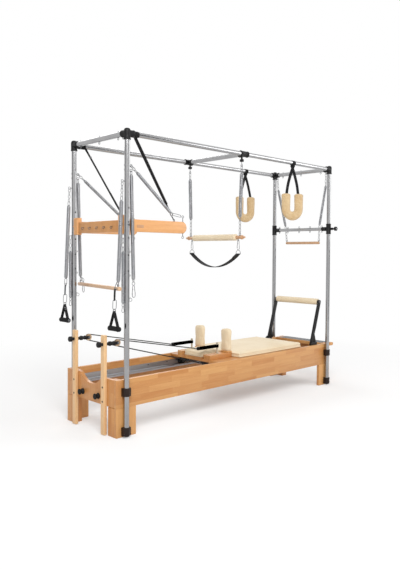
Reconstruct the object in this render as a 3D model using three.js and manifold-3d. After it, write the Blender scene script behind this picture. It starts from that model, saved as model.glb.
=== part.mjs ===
// Pilates trapeze table: a wooden reformer bed with a sliding carriage under a full-length steel canopy.
// Lengths are millimetres. X runs from the head end to the foot end, Y from the near side to the far
// side and Z upwards. The origin is on the floor, midway between the four canopy posts.
import * as THREE from 'three';
import { mergeVertices } from 'three/addons/utils/BufferGeometryUtils.js';
import Module from 'manifold-3d';

const wasm = await Module();
wasm.setup();

// Clearances
const touchGap = 0.3;
const hookGap = 0.6;
const runGap = 0.6;
const slideGap = 1;
const cutOver = 3;
const lap = 1;

// Canopy tubes
const postSpan = 2416;
const postGauge = 676;
const canopyHeight = 2100;
const tubeOuter = 38;
const tubeWall = 2;
const postLift = 13;
const postTopDrop = 19;
const railSeat = 26;
const ventRadius = 3;

// Corner fittings
const fittingWall = 4.5;
const fittingBelow = 45;
const fittingAbove = 35;
const fittingReach = 55;
const domeTall = 12;
const domeShares = [[0.8, 0.25]];

// Post clamps
const clampHeights = [42, 316];
const clampLong = 60;
const clampDeep = 34;
const clampTall = 58;
const clampRoundRadius = 25;
const clampBoltOffset = 24;
const clampBoltRadius = 5;
const clampBoltTall = 4;

// Bed
const bedLength = 2556;
const bedWidth = 634;
const bedHeight = 400;
const boardBottom = 203;
const boardThick = 28;
const legLong = 170;
const legBlockLong = 66;
const legBlockDeep = 72;
const legBlockTopDrop = 5;
const endBoardRise = 2;
const scallopHalf = 135;
const scallopDeep = 65;
const bufferY = 100;
const bufferZ = 260;
const bufferRadius = 21;
const bufferWaistRadius = 14;
const bufferLong = 35;
const bufferShares = [0.22, 0.42, 0.58, 0.78];

// Standing platform at the foot end
const platformThick = 30;
const platformTop = 402;
const platformNose = 67;
const platformTongue = 78;

// Tracks, wheels and spring bar
const trackEndGap = 7;
const trackTop = 345;
const trackBottom = 285;
const shelfTop = 300;
const shelfWide = 40.7;
const trackWall = 4;
const wheelRadius = 30;
const wheelWide = 20;
const wheelInset = 13;
const wheelChamfer = 4;
const axleRadius = 6;
const axleEndInset = 8;
const frontWheelX = -150;
const rearWheelX = 700;
const springBarX = 1085;
const springBarLong = 25;
const springBarTall = 16;
const carriageSpringYs = [-120, -60, 0, 60, 120];
const carriageSpringRadius = 12;
const carriageSpringPlate = 7;
const carriageSpringZ = 316;
const carriageSpringPlateHalf = 138;

// Carriage
const deckFront = -265;
const deckRear = 872;
const deckHalf = 285;
const deckBottom = 380;
const deckThick = 19.7;
const wheelBracketHalf = 28;
const wheelBracketDrop = 65;
const wheelBracketThick = 8;
const wheelBracketGap = 12;
const cleatLong = 30;
const cleatHalfWide = 20;
const cleatDrop = 28;
const cleatY = 120;
const cleatInset = 3;
const springHangerHalf = 150;
const springHangerLong = 20;
const springHangerDrop = 82;
const restBlockInner = 122;
const restBlockOuter = 200;
const restBlockRear = -3;
const restBlockTop = 440;
const pegX = -138;
const pegY = 157;
const pegRadius = 8;
const pegTop = 531;
const pegSunk = 12;

// Cushions
const padFront = 0;
const padRear = 867;
const padHalf = 287;
const padThick = 45;
const padCorner = 60;
const padCrown = 5;
const padRound = 9;
const padDrawIn = 3;
const headrestFront = -273;
const headrestRear = -75;
const headrestHalf = 113;
const headrestBoard = 11;
const headrestTop = 468;
const headrestCorner = 26;
const headrestCrown = 8;
const headrestRound = 12;
const shoulderX = -33;
const shoulderY = 162;
const shoulderLong = 55;
const shoulderWide = 88;
const shoulderTop = 643;
const shoulderCorner = 20;
const shoulderCrown = 10;
const shoulderRound = 16;
const shoulderDrawIn = 1.5;
const shoulderPinRadius = 6;
const shoulderPinLong = 30;

// Pulley risers, forks and wheels
const riserThick = 25;
const riserWide = 46;
const riserY = 185;
const riserTop = 705;
const riserBottom = 3;
const pulleyZ = 640;
const pulleyReach = 100;
const pulleyRadius = 25;
const pulleyHalf = 7;
const pulleyPinRadius = 4;
const pulleyGrooveRadius = 17.2;
const pulleyGrooveHalf = 3;
const pulleyLipHalf = 6.5;
const forkBoltRadius = 5;
const forkBodyLong = 72;
const forkBodyHalfWide = 18;
const forkBodyHalfTall = 17;
const forkCheekThick = 4;
const forkCheekPast = 18;
const knobRadius = 20;
const knobLong = 22;
const knobNeckRadius = 11;
const knobNeckLong = 19.4;

// Ropes and their webbing loops
const ropeRadius = 4;
const ropeWrapRadius = 22;
const ropeWrapSteps = 6;
const ropeRunSteps = 2;
const ropeSides = 6;
const loopStrapLong = 250;
const loopStrapHalf = 18;
const loopStrapThick = 4;
const loopStrapTall = 20;
const loopStrapZ = 505;
const loopStrapPast = 16;
const ropeEndGap = 1.5;
const ropeCleatZ = 366;

// Footbar
const footbarPivotX = 1047;
const footbarPivotZ = 405;
const footbarRollerX = 1167;
const footbarRollerZ = 810;
const footbarArmOuter = 276;
const footbarArmThick = 18;
const footbarArmHalfWide = 19;
const footbarHubRadius = 24;
const footbarAxleRadius = 8;
const footbarPlateThick = 10.7;
const footbarPlateFront = 1018;
const footbarPlateRear = 1110;
const footbarPlateTall = 65;
const footbarPlateTop = 425;
const footbarTabFront = 1086;
const footbarTabThick = 12;
const footbarHeelRise = 58;
const footbarHeelHalf = 9;
const rollerRadius = 30;
const rollerHalf = 252.5;
const rollerRodRadius = 10;
const rollerCapRound = 5;

// Eye bolts and links of wire
const eyeRadius = 9;
const eyeWire = 2.2;
const eyeStemRadius = 3;
const smallEyeRadius = 5.5;
const smallEyeWire = 2;
const linkWire = 2.2;
const linkHalfWide = 8;
const loopSteps = 6;
const wireSides = 3;
const eyeFootShare = 0.86;

// Springs
const springCurls = 3;
const shortSpringCurls = 2;
const springWire = 2.6;
const springCap = 9;
const stepsPerCurl = 8;
const springSides = 5;
const springCapSides = 6;

// Hooks and holes on the head posts
const postHoleDrops = [512, 608, 718, 835, 945];
const postHoleRadius = 4.5;
const armEyeDrop = 330;
const armEyeReach = 40;
const sideEyeDrop = 252;
const sideEyeReach = 34;
const pushEyeDrop = 220;
const pushEyeReach = 34;
const innerEyeDrop = 691;
const innerEyeReach = 32;
const innerEyeRadius = 6;
const smallEyeDrops = [812, 976];
const smallEyeReach = 23;
const looseRingDrop = 1147;
const looseRingReach = 36;
const looseRingRadius = 11;

// Arm springs with their straps and handles, on the head side of the head posts
const armSpringRadius = 14;
const armHookLong = 130;
const armSpringLong = 560;
const armLeanShare = 0.046;
const armStrapHookLong = 46;
const armStrapLong = 74;
const armStrapHalfWide = 11;
const armStrapThick = 6;
const hookedIn = 3;
const armLinkLong = 67;
const armLinkHalfWide = 13;
const handleRingRadius = 9;
const handleRingWire = 3;
const gripDrop = 127;
const gripRadius = 17;
const gripLong = 120;
const gripStrapHalfWide = 10;
const gripStrapThick = 4;
const gripStrapInset = 8;

// Side springs, on the foot side of the head posts
const sideSpringRadius = 14;
const sideHookLong = 28;
const sideSpringLong = 728;
const sideLeanShare = 0.03;
const sideRingLong = 46;
const sideRingHalfWide = 13;
const carabinerLong = 80;
const carabinerHalfWide = 14;

// Inner springs, between the arm springs and the posts
const innerSpringRadius = 12;
const innerHookLong = 119;
const innerSpringLong = 360;
const innerTailLong = 60;
const innerLinkHalfWide = 6;

// Dowel hung between a near and a far spring
const dowelDrop = 44;
const dowelRadius = 14;
const dowelPast = 30;
const dowelEyeRadius = 7;
const dowelEyeStem = 2;
const dowelLinkHalfWide = 6;
const dowelClear = 9;
const asideShare = 1 / 3;

// Push-through bar
const pushPivotDrop = 628;
const pushArmInner = 288;
const pushArmOuter = 316;
const pushArmHalfTall = 44;
const pushArmReach = 575;
const pushBoardBelow = 47;
const pushBoardAbove = 36;
const pushBoardHalf = 14;
const pushBlockInner = 257;
const pushBlockOuter = 317;
const pushBlockBelow = 59;
const pushBlockAbove = 71;
const pushBlockHalf = 20;
const pushPinRadius = 6;
const pushPinReach = 48;
const pushHookPitch = 92;
const pushHookCount = 5;
const pushHookReach = 12;
const pushHookRadius = 8;
const pushSlotFront = 100;
const pushSlotRear = 165;
const pushSlotDeep = 6;
const pushSlotBelow = 17;
const pushSlotAbove = 8;
const pushBoltReach = 545;
const pushBoltBelow = 73;
const pushBoltAbove = 82;
const pushRingHalf = 14;
const pushEndLinkHalfWide = 7;
const pushSpringRadius = 12;
const pushSpringLead = 62;
const pushSpringEndReach = 416;
const pushSpringEndRise = 23;
const pushSpringEndY = 314;
const pushHookDrop = 12;
const pushStrapX = -1132;
const pushStrapEyeReach = 465;
const pushStrapEndY = 294;
const pushStrapEyeRadius = 7;
const pushStrapEyeStem = 2;
const pushStrapShare = 0.86;
const pushStrapTailLong = 28;
const pushStrapTailHalf = 5;
const pushStrapLinkHalf = 7;
const pushStrapWide = 32;
const pushStrapThick = 3;
const pushStrapLinkLong = 60;

// Middle crossbar and its sliders
const midBarX = -24;
const sliderLong = 88;
const sliderHalfWide = 26;
const sliderHalfTall = 30;
const sliderKnobDrop = 51;
const sliderKnobY = 316;
const sliderKnobRadius = 17;
const sliderKnobTall = 20;
const sliderNeckRadius = 8;
const sliderKnobChamfer = 3;
const sliderEyeDrop = 91;
const sliderEyeRadius = 10;

// Trapeze bar, its springs, pad and sling
const trapezeSpringRadius = 16;
const trapezeHookLong = 60;
const trapezeSpringLong = 370;
const trapezeChainLong = 164;
const trapezeSpringBarY = 301;
const trapezeBarRadius = 14;
const trapezeBarHalf = 338;
const trapezeTipRadius = 9;
const trapezeTipLong = 20;
const trapezeCollarRadius = 18;
const trapezeCollarLong = 14;
const trapezeCollarInset = 6;
const trapezePadHalf = 262;
const trapezePadRadius = 27;
const trapezePadRound = 8;
const slingEyeY = 284;
const slingEyeRadius = 8;
const slingEyeStem = 2;
const slingHookDrop = 107;
const slingHookHalfWide = 14;
const slingRingLong = 32;
const slingRingHalfWide = 27;
const slingSag = 115;
const slingHalfWide = 26;
const slingThick = 5;
const slingSteps = 12;
const bandSides = 4;

// Padded loops hung from the top rails
const nearLoopX = 632;
const nearLoopDrop = 280;
const nearLoopTall = 238;
const nearLoopTurn = -25;
const farLoopX = 745;
const farLoopDrop = 258;
const farLoopTall = 251;
const farLoopTurn = -18;
const loopPlaces = [
  { name: 'near', side: -1, x: nearLoopX, drop: nearLoopDrop, tall: nearLoopTall, turn: nearLoopTurn },
  { name: 'far', side: 1, x: farLoopX, drop: farLoopDrop, tall: farLoopTall, turn: farLoopTurn },
];
const chokeWide = 44;
const hangStrapSpread = 6;
const pastPadShare = 1.05;
const chokeThick = 4;
const hangStrapHalfWide = 13;
const hangStrapThick = 3;
const padLobeHalf = 40;
const padLobeThick = 27;
const padLegOffset = 64;
const padArcSteps = 6;
const padSides = 8;

// Foot crossbar with its collars and knob
const footBarDrop = 576;
const footBarTubeRadius = 16;
const footBarTubeWall = 2;
const collarRadius = 24.5;
const collarTall = 100;
const collarSocketRadius = 21;
const collarSocketReach = 53;
const footBarEyeYs = [268, 161, 16, -118, -260];
const knobBossRadius = 12;
const knobBossLong = 26;
const collarKnobReach = 92;
const collarKnobRadius = 22;
const collarKnobTall = 20;
const collarScrewRadius = 5;
const collarNeckRadius = 9;
const collarKnobChamfer = 3;

// Eyes under the cross rails
const crossEyeDrop = 27;
const headRailEyeYs = [245, -2, -234, -289];
const footRailEyeYs = [231, 0, -239];

// Roll-down bar hung at the foot end
const rollEyeY = 302;
const rollEyeDrop = 34;
const rollSpringRadius = 13;
const rollHookLong = 151;
const rollSpringLong = 387;
const rollSpringTopY = 297;
const rollSpringBottomY = 212;
const rollHookY = 200;
const rollChainLong = 172;
const rollBarHalf = 206;
const rollBarRadius = 13.5;
const rollBarLean = 37;

// Sides of the round shapes
const tubeSides = 10;
const rodSides = 8;
const thinSides = 5;
const stemSides = 3;
const arcSteps = 4;

// Places worked out from the sizes above
const xPost = postSpan / 2;
const yPost = postGauge / 2;
const tubeRadius = tubeOuter / 2;
const fittingRadius = tubeRadius + fittingWall;
const bedHalf = bedLength / 2;
const bedSide = bedWidth / 2;
const boardInner = bedSide - boardThick;
const trackHalf = bedHalf - legBlockLong - trackEndGap;
const axleZ = shelfTop + touchGap + wheelRadius;
const deckTop = deckBottom + deckThick;
const footbarPlateBottom = footbarPlateTop - footbarPlateTall;
const armEyeZ = canopyHeight - armEyeDrop;
const armSpringTop = armEyeZ - armHookLong;
const armSpringBottom = armSpringTop - armSpringLong;
const armStrapTop = armSpringBottom - armStrapHookLong;
const armStrapBottom = armStrapTop - armStrapLong;
const armLinkBottom = armStrapBottom - armLinkLong;
const gripZ = armLinkBottom - gripDrop;
const sideEyeZ = canopyHeight - sideEyeDrop;
const sideSpringTop = sideEyeZ - sideHookLong;
const sideSpringBottom = sideSpringTop - sideSpringLong;
const sideRingBottom = sideSpringBottom - sideRingLong;
const carabinerBottom = sideRingBottom - carabinerLong;
const innerEyeZ = canopyHeight - innerEyeDrop;
const innerSpringTop = innerEyeZ - innerHookLong;
const innerSpringBottom = innerSpringTop - innerSpringLong;
const innerHookBottom = innerSpringBottom - innerTailLong;
const looseRingZ = canopyHeight - looseRingDrop;
const dowelZ = armSpringBottom - dowelDrop;
const pushEyeZ = canopyHeight - pushEyeDrop;
const pushPivotZ = canopyHeight - pushPivotDrop;
const pushArmBottom = pushPivotZ - pushArmHalfTall;
const pushArmTop = pushPivotZ + pushArmHalfTall;
const pushBoltTop = pushPivotZ + pushBoltAbove;
const pushSpringEndZ = pushBoltTop + pushSpringEndRise;
const sliderKnobZ = canopyHeight - sliderKnobDrop;
const sliderEyeZ = canopyHeight - sliderEyeDrop;
const trapezeSpringTop = sliderEyeZ - trapezeHookLong;
const trapezeSpringBottom = trapezeSpringTop - trapezeSpringLong;
const trapezeBarZ = trapezeSpringBottom - trapezeChainLong;
const slingHookBottom = trapezeBarZ - slingHookDrop;
const slingRingBottom = slingHookBottom - slingRingLong;
const slingLow = slingRingBottom - slingSag;
const footBarZ = canopyHeight - footBarDrop;
const rollSpringTop = canopyHeight - rollHookLong;
const rollSpringBottom = rollSpringTop - rollSpringLong;
const rollBarZ = rollSpringBottom - rollChainLong;
const sides = [['near', -1], ['far', 1]];
const ends = [['head', -1], ['foot', 1]];

const finishes = {
  beech: { color: 0xd9a468, roughness: 0.5, metalness: 0 },
  steel: { color: 0xc6c9cc, roughness: 0.25, metalness: 1 },
  aluminium: { color: 0xa9acaf, roughness: 0.4, metalness: 1 },
  blackPlastic: { color: 0x1b1b1c, roughness: 0.5, metalness: 0 },
  darkPaint: { color: 0x1f1a18, roughness: 0.4, metalness: 0.3 },
  creamLeather: { color: 0xe6d6bd, roughness: 0.6, metalness: 0 },
  plush: { color: 0xe0c095, roughness: 0.95, metalness: 0 },
  webbing: { color: 0x17171a, roughness: 0.85, metalness: 0 },
  blackRope: { color: 0x161617, roughness: 0.8, metalness: 0 },
};

const vec = (x, y, z) => new THREE.Vector3(x, y, z);
const alongX = vec(1, 0, 0);
const alongY = vec(0, 1, 0);
const alongZ = vec(0, 0, 1);
const planes = {
  xy: new THREE.Matrix4().makeBasis(alongX, alongY, alongZ),
  yz: new THREE.Matrix4().makeBasis(alongY, alongZ, alongX),
  xz: new THREE.Matrix4().makeBasis(alongX, alongZ, alongY.clone().negate()),
};

// A closed geometry as a solid, with its shared corners merged and its faces pointing out
function solid(geometry) {
  const bare = geometry.clone();
  bare.deleteAttribute('normal');
  bare.deleteAttribute('uv');
  const merged = mergeVertices(bare);
  const corners = merged.attributes.position;
  const faces = [];
  let volume = 0;
  for (let i = 0; i < merged.index.count; i += 3) {
    const [a, b, c] = [0, 1, 2].map((k) => merged.index.getX(i + k));
    if (a !== b && b !== c && c !== a) {
      faces.push([a, b, c]);
      const [p, q, r] = [a, b, c].map((k) => vec().fromBufferAttribute(corners, k));
      volume += p.dot(q.cross(r));
    }
  }
  const outward = volume < 0 ? faces.map(([a, b, c]) => [a, c, b]) : faces;
  return new wasm.Manifold(new wasm.Mesh({
    numProp: 3,
    vertProperties: Float32Array.from(corners.array),
    triVerts: Uint32Array.from(outward.flat()),
  }));
}

const joined = (...parts) => parts.flat().reduce((whole, part) => whole.add(part));

const cut = (whole, ...tools) => tools.flat().reduce((rest, tool) => rest.subtract(tool), whole);

// A box between two opposite corners, given in any order
function block(x0, x1, y0, y1, z0, z1) {
  const geometry = new THREE.BoxGeometry(Math.abs(x1 - x0), Math.abs(y1 - y0), Math.abs(z1 - z0));
  geometry.translate((x0 + x1) / 2, (y0 + y1) / 2, (z0 + z1) / 2);
  return solid(geometry);
}

function rod(from, to, radius, count = rodSides) {
  const run = to.clone().sub(from);
  const geometry = new THREE.CylinderGeometry(radius, radius, run.length(), count);
  geometry.applyQuaternion(new THREE.Quaternion().setFromUnitVectors(alongY, run.normalize()));
  geometry.translate(...from.clone().add(to).divideScalar(2).toArray());
  return solid(geometry);
}

// The radius of a flat-sided bore that a rod can turn in
const boreRadius = (radius) => (radius + touchGap) / Math.cos(Math.PI / rodSides);

// A profile of [radius, height] points turned about the axis from a point along a direction
function turned(profile, at, direction, count = tubeSides) {
  const geometry = new THREE.LatheGeometry(profile.map(([r, h]) => new THREE.Vector2(r, h)), count);
  geometry.applyQuaternion(new THREE.Quaternion().setFromUnitVectors(alongY, direction));
  geometry.translate(...at.toArray());
  return solid(geometry);
}

// A flat outline given thickness square to its plane
function slab(outline, plane, from, to) {
  const geometry = new THREE.ExtrudeGeometry(outline, {
    depth: to - from,
    bevelEnabled: false,
    curveSegments: arcSteps,
  });
  geometry.translate(0, 0, plane === 'xz' ? -to : from);
  geometry.applyMatrix4(planes[plane]);
  return solid(geometry);
}

const polygon = (points) => new THREE.Shape(points.map(([a, b]) => new THREE.Vector2(a, b)));

// A straight bar's outline with round ends about two points
function capsule([ax, ay], [bx, by], radius) {
  const turn = Math.atan2(by - ay, bx - ax);
  const outline = new THREE.Shape();
  outline.absarc(ax, ay, radius, turn + Math.PI / 2, turn + 1.5 * Math.PI);
  outline.absarc(bx, by, radius, turn - Math.PI / 2, turn + Math.PI / 2);
  return outline;
}

// An oval section carried along points, closed on itself or capped at its ends
function sweep(points, thick, wide, count, normal, closed = false) {
  const last = points.length - 1;
  const positions = [];
  let side = normal.clone();
  points.forEach((point, i) => {
    const before = points[i > 0 ? i - 1 : closed ? last : 0];
    const after = points[i < last ? i + 1 : closed ? 0 : last];
    const along = after.clone().sub(before).normalize();
    side = side.clone().addScaledVector(along, -side.dot(along)).normalize();
    const across = vec().crossVectors(along, side);
    for (let j = 0; j < count; j += 1) {
      const turn = (2 * Math.PI * (j + 1 / 2)) / count;
      const corner = point.clone().addScaledVector(side, thick * Math.cos(turn));
      positions.push(...corner.addScaledVector(across, wide * Math.sin(turn)).toArray());
    }
  });
  const faces = [];
  const rings = closed ? points.length : last;
  for (let i = 0; i < rings; i += 1) {
    const next = (i + 1) % points.length;
    for (let j = 0; j < count; j += 1) {
      const turn = (j + 1) % count;
      const [a, b, c, d] = [i * count + j, i * count + turn, next * count + turn, next * count + j];
      faces.push(a, b, c, a, c, d);
    }
  }
  if (!closed) {
    for (let j = 1; j < count - 1; j += 1) {
      faces.push(0, j + 1, j, last * count, last * count + j, last * count + j + 1);
    }
  }
  const geometry = new THREE.BufferGeometry();
  geometry.setAttribute('position', new THREE.Float32BufferAttribute(positions, 3));
  geometry.setIndex(faces);
  return solid(geometry);
}

// A bent tube along points
const bent = (points, radius, count, normal) => sweep(points, radius, radius, count, normal);

// A flat strap between two points, wide along one direction
function strap(from, to, halfWide, thick, wideAlong) {
  const run = to.clone().sub(from);
  const along = run.clone().normalize();
  const faceOut = vec().crossVectors(wideAlong, along).normalize();
  const geometry = new THREE.BoxGeometry(2 * halfWide, thick, run.length());
  const turn = new THREE.Matrix4().makeBasis(vec().crossVectors(faceOut, along), faceOut, along);
  geometry.applyMatrix4(turn);
  geometry.translate(...from.clone().add(to).divideScalar(2).toArray());
  return solid(geometry);
}

// A closed loop of wire: an oval in the plane square to a normal, tall along a direction
function wireLoop(at, normal, tallAlong, halfWide, halfTall, wire = linkWire) {
  const across = vec().crossVectors(tallAlong, normal).normalize();
  const points = [];
  for (let i = 0; i < loopSteps; i += 1) {
    const turn = (2 * Math.PI * i) / loopSteps;
    const rise = Math.cos(turn);
    const point = at.clone().addScaledVector(across, halfWide * Math.sin(turn));
    const up = halfWide * rise + Math.sign(rise) * (halfTall - halfWide);
    points.push(point.addScaledVector(tallAlong, up));
  }
  return sweep(points, wire, wire, wireSides, normal, true);
}

// Links in line between two points, each turned a quarter from the one before it
function chain(from, to, count, normal, halfWide = linkHalfWide) {
  const run = to.clone().sub(from);
  const along = run.clone().normalize();
  const flat = normal.clone().addScaledVector(along, -normal.dot(along)).normalize();
  const turned90 = vec().crossVectors(along, flat);
  const links = [];
  for (let i = 0; i < count; i += 1) {
    const at = from.clone().addScaledVector(run, (i + 1 / 2) / count);
    links.push(wireLoop(at, i % 2 ? turned90 : flat, along, halfWide, run.length() / count / 2));
  }
  return joined(links);
}

// An eye bolt: a ring at the end of a stem that starts inside what carries it
function eye(root, at, normal, radius = eyeRadius, wire = eyeWire) {
  const towards = root.clone().sub(at).normalize();
  const flatOn = Math.abs(towards.dot(normal)) > 1 / 2;
  const foot = flatOn
    ? at.clone().addScaledVector(alongZ, radius)
    : at.clone().addScaledVector(towards, radius * eyeFootShare);
  const start = flatOn ? root.clone().addScaledVector(alongZ, radius) : root;
  const up = Math.abs(normal.z) > 1 / 2 ? alongX : alongZ;
  const ring = wireLoop(at, normal, up, radius, radius, wire);
  return joined(rod(start, foot, eyeStemRadius, stemSides), ring);
}

// A ring fixed straight to the surface that it stands in
const ringAt = (at, normal, radius = eyeRadius, wire = eyeWire) => (
  wireLoop(at, normal, alongZ, radius, radius, wire)
);

// Where the wire of a link lies when it is drawn across an eye along a direction
const pulledFrom = (at, along, radius = eyeRadius) => (
  at.clone().addScaledVector(along, radius - eyeWire - linkWire - hookGap)
);

const hangFrom = (at, radius = eyeRadius) => pulledFrom(at, vec(0, 0, -1), radius);

// The least gap between the turns of a wound wire
function leastGap(points, wire) {
  let least = Infinity;
  points.forEach((a, i) => points.slice(i + stepsPerCurl).forEach((b) => {
    least = Math.min(least, a.distanceTo(b) - 2 * wire);
  }));
  return least;
}

// A coil spring as one unbroken wire, held by a cap at each end
function spring(from, to, radius, curls = springCurls) {
  const run = to.clone().sub(from);
  const along = run.clone().normalize();
  const side = vec().crossVectors(along, alongY).normalize();
  const other = vec().crossVectors(along, side);
  const arm = radius - springWire;
  const lead = springCap - lap;
  const tail = lead + 2 * springWire;
  const steps = curls * stepsPerCurl;
  const place = (down, turn) => from.clone().addScaledVector(along, down)
    .addScaledVector(side, arm * Math.cos(turn)).addScaledVector(other, arm * Math.sin(turn));
  const points = [place(lead, 0)];
  for (let i = 0; i <= steps; i += 1) {
    const down = tail + ((run.length() - 2 * tail) * i) / steps;
    points.push(place(down, (2 * Math.PI * i) / stepsPerCurl));
  }
  points.push(place(run.length() - lead, 0));
  console.log(`spring of ${curls} curls, least gap ${leastGap(points, springWire).toFixed(1)} mm`);
  const capEnd = from.clone().addScaledVector(along, springCap);
  const capStart = to.clone().addScaledVector(along, -springCap);
  return joined(
    rod(from, capEnd, radius, springCapSides),
    rod(capStart, to, radius, springCapSides),
    bent(points, springWire, springSides, side),
  );
}

// A cushion on its base: round corners, crowned top and sides drawn in between the corners
function cushion({ long, wide, tall, corner, crown, round, drawIn, at = vec(0, 0, 0) }) {
  const rings = [
    { inset: round / 2, height: 0 },
    { inset: 0, height: round },
    { inset: drawIn / 2, height: tall / 2 },
    { inset: 0, height: tall - crown - round },
    { inset: round / 3, height: tall - crown - round / 3 },
    { inset: round, height: tall - crown / 2 },
  ];
  const cornerSteps = 3;
  const sideSteps = 3;
  const corners = [[1, 1], [-1, 1], [-1, -1], [1, -1]];
  const outline = (inset) => {
    const halfLong = long / 2 - inset;
    const halfWide = wide / 2 - inset;
    const bend = Math.max(corner - inset, corner / 4);
    const points = [];
    corners.forEach(([sx, sy], k) => {
      for (let i = 0; i <= cornerSteps; i += 1) {
        const turn = (Math.PI / 2) * (k + i / cornerSteps);
        points.push([
          sx * (halfLong - bend) + bend * Math.cos(turn),
          sy * (halfWide - bend) + bend * Math.sin(turn),
        ]);
      }
      const [nextX, nextY] = corners[(k + 1) % corners.length];
      const [ax, ay] = points[points.length - 1];
      const alongSide = nextX !== sx;
      const bx = alongSide ? nextX * (halfLong - bend) : sx * halfLong;
      const by = alongSide ? sy * halfWide : nextY * (halfWide - bend);
      for (let i = 1; i < sideSteps; i += 1) {
        const share = i / sideSteps;
        const pull = drawIn * Math.sin(Math.PI * share);
        points.push([
          ax + (bx - ax) * share - (alongSide ? 0 : sx * pull),
          ay + (by - ay) * share - (alongSide ? sy * pull : 0),
        ]);
      }
    });
    return points;
  };
  const positions = [];
  const put = (x, y, z) => positions.push(at.x + x, at.y + y, at.z + z);
  rings.forEach(({ inset, height }) => outline(inset).forEach(([x, y]) => put(x, y, height)));
  const count = outline(0).length;
  const base = positions.length / 3;
  put(0, 0, 0);
  put(0, 0, tall);
  const faces = [];
  for (let j = 0; j < count; j += 1) {
    const next = (j + 1) % count;
    for (let i = 0; i < rings.length - 1; i += 1) {
      const [a, b, c, d] = [i * count + j, i * count + next, (i + 1) * count + next, (i + 1) * count + j];
      faces.push(a, b, c, a, c, d);
    }
    const top = (rings.length - 1) * count;
    faces.push(base, next, j, top + j, top + next, base + 1);
  }
  const geometry = new THREE.BufferGeometry();
  geometry.setAttribute('position', new THREE.Float32BufferAttribute(positions, 3));
  geometry.setIndex(faces);
  return solid(geometry);
}

const table = new THREE.Group();

// One named piece of the table, in its finish, at its own reference point
function piece(name, shape, finish, at = vec(0, 0, 0)) {
  const { vertProperties, triVerts } = shape.getMesh();
  const geometry = new THREE.BufferGeometry();
  geometry.setAttribute('position', new THREE.BufferAttribute(vertProperties, 3));
  geometry.setIndex(new THREE.BufferAttribute(triVerts, 1));
  geometry.computeVertexNormals();
  const mesh = new THREE.Mesh(geometry, new THREE.MeshStandardMaterial(finishes[finish]));
  mesh.name = name;
  mesh.position.copy(at);
  table.add(mesh);
}

const span = (a, b) => [Math.min(a, b), Math.max(a, b)];

// One of the four canopy posts, with the two clamps that hold it to the bed
function post(end, side) {
  const toBed = -side * (yPost - bedSide - touchGap);
  const clampFace = toBed + side * clampDeep;
  const parts = [rod(vec(0, 0, postLift), vec(0, 0, canopyHeight - postTopDrop), tubeRadius, tubeSides)];
  clampHeights.forEach((z) => {
    const low = z - clampTall / 2;
    const high = z + clampTall / 2;
    const round = rod(vec(0, 0, low), vec(0, 0, high), clampRoundRadius, tubeSides);
    parts.push(cut(round, block(-clampLong, clampLong, toBed, toBed - side * clampDeep, 0, canopyHeight)));
    parts.push(block(-clampLong / 2, clampLong / 2, toBed, clampFace, low, high));
    [-clampBoltOffset, clampBoltOffset].forEach((x) => {
      const head = vec(x, clampFace + side * clampBoltTall, z);
      parts.push(rod(vec(x, clampFace - side * lap, z), head, clampBoltRadius, thinSides));
    });
  });
  if (end < 0) {
    parts.push(...headPostHooks(side));
  }
  const bore = rod(
    vec(0, 0, postLift - cutOver),
    vec(0, 0, canopyHeight - postTopDrop + cutOver),
    tubeRadius - tubeWall,
    tubeSides,
  );
  const holes = (end < 0 ? postHoleDrops : []).map((drop) => {
    const inside = vec(0, 0, canopyHeight - drop);
    const outside = inside.clone().addScaledVector(alongY, side * (tubeRadius + cutOver));
    return rod(inside, outside, postHoleRadius, stemSides);
  });
  return cut(joined(parts), bore, holes);
}

// The eyes of a head post, and the pin that the push-through bar turns on
function headPostHooks(side) {
  const root = (direction, z) => vec(direction * (tubeRadius - lap), 0, z);
  const pin = rod(
    vec(0, -side * (tubeRadius - lap), pushPivotZ),
    vec(0, -side * pushPinReach, pushPivotZ),
    pushPinRadius,
  );
  return [
    pin,
    eye(root(-1, armEyeZ), vec(-armEyeReach, 0, armEyeZ), alongY),
    eye(root(1, sideEyeZ), vec(sideEyeReach, 0, sideEyeZ), alongY),
    eye(root(1, pushEyeZ), vec(pushEyeReach, 0, pushEyeZ), alongY),
    eye(root(-1, innerEyeZ), vec(-innerEyeReach, 0, innerEyeZ), alongX, innerEyeRadius),
    eye(root(1, looseRingZ), vec(looseRingReach, 0, looseRingZ), alongY, looseRingRadius),
    ...smallEyeDrops.map((drop) => {
      const at = vec(smallEyeReach, 0, canopyHeight - drop);
      return ringAt(at, alongY, smallEyeRadius, smallEyeWire);
    }),
  ];
}

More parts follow.
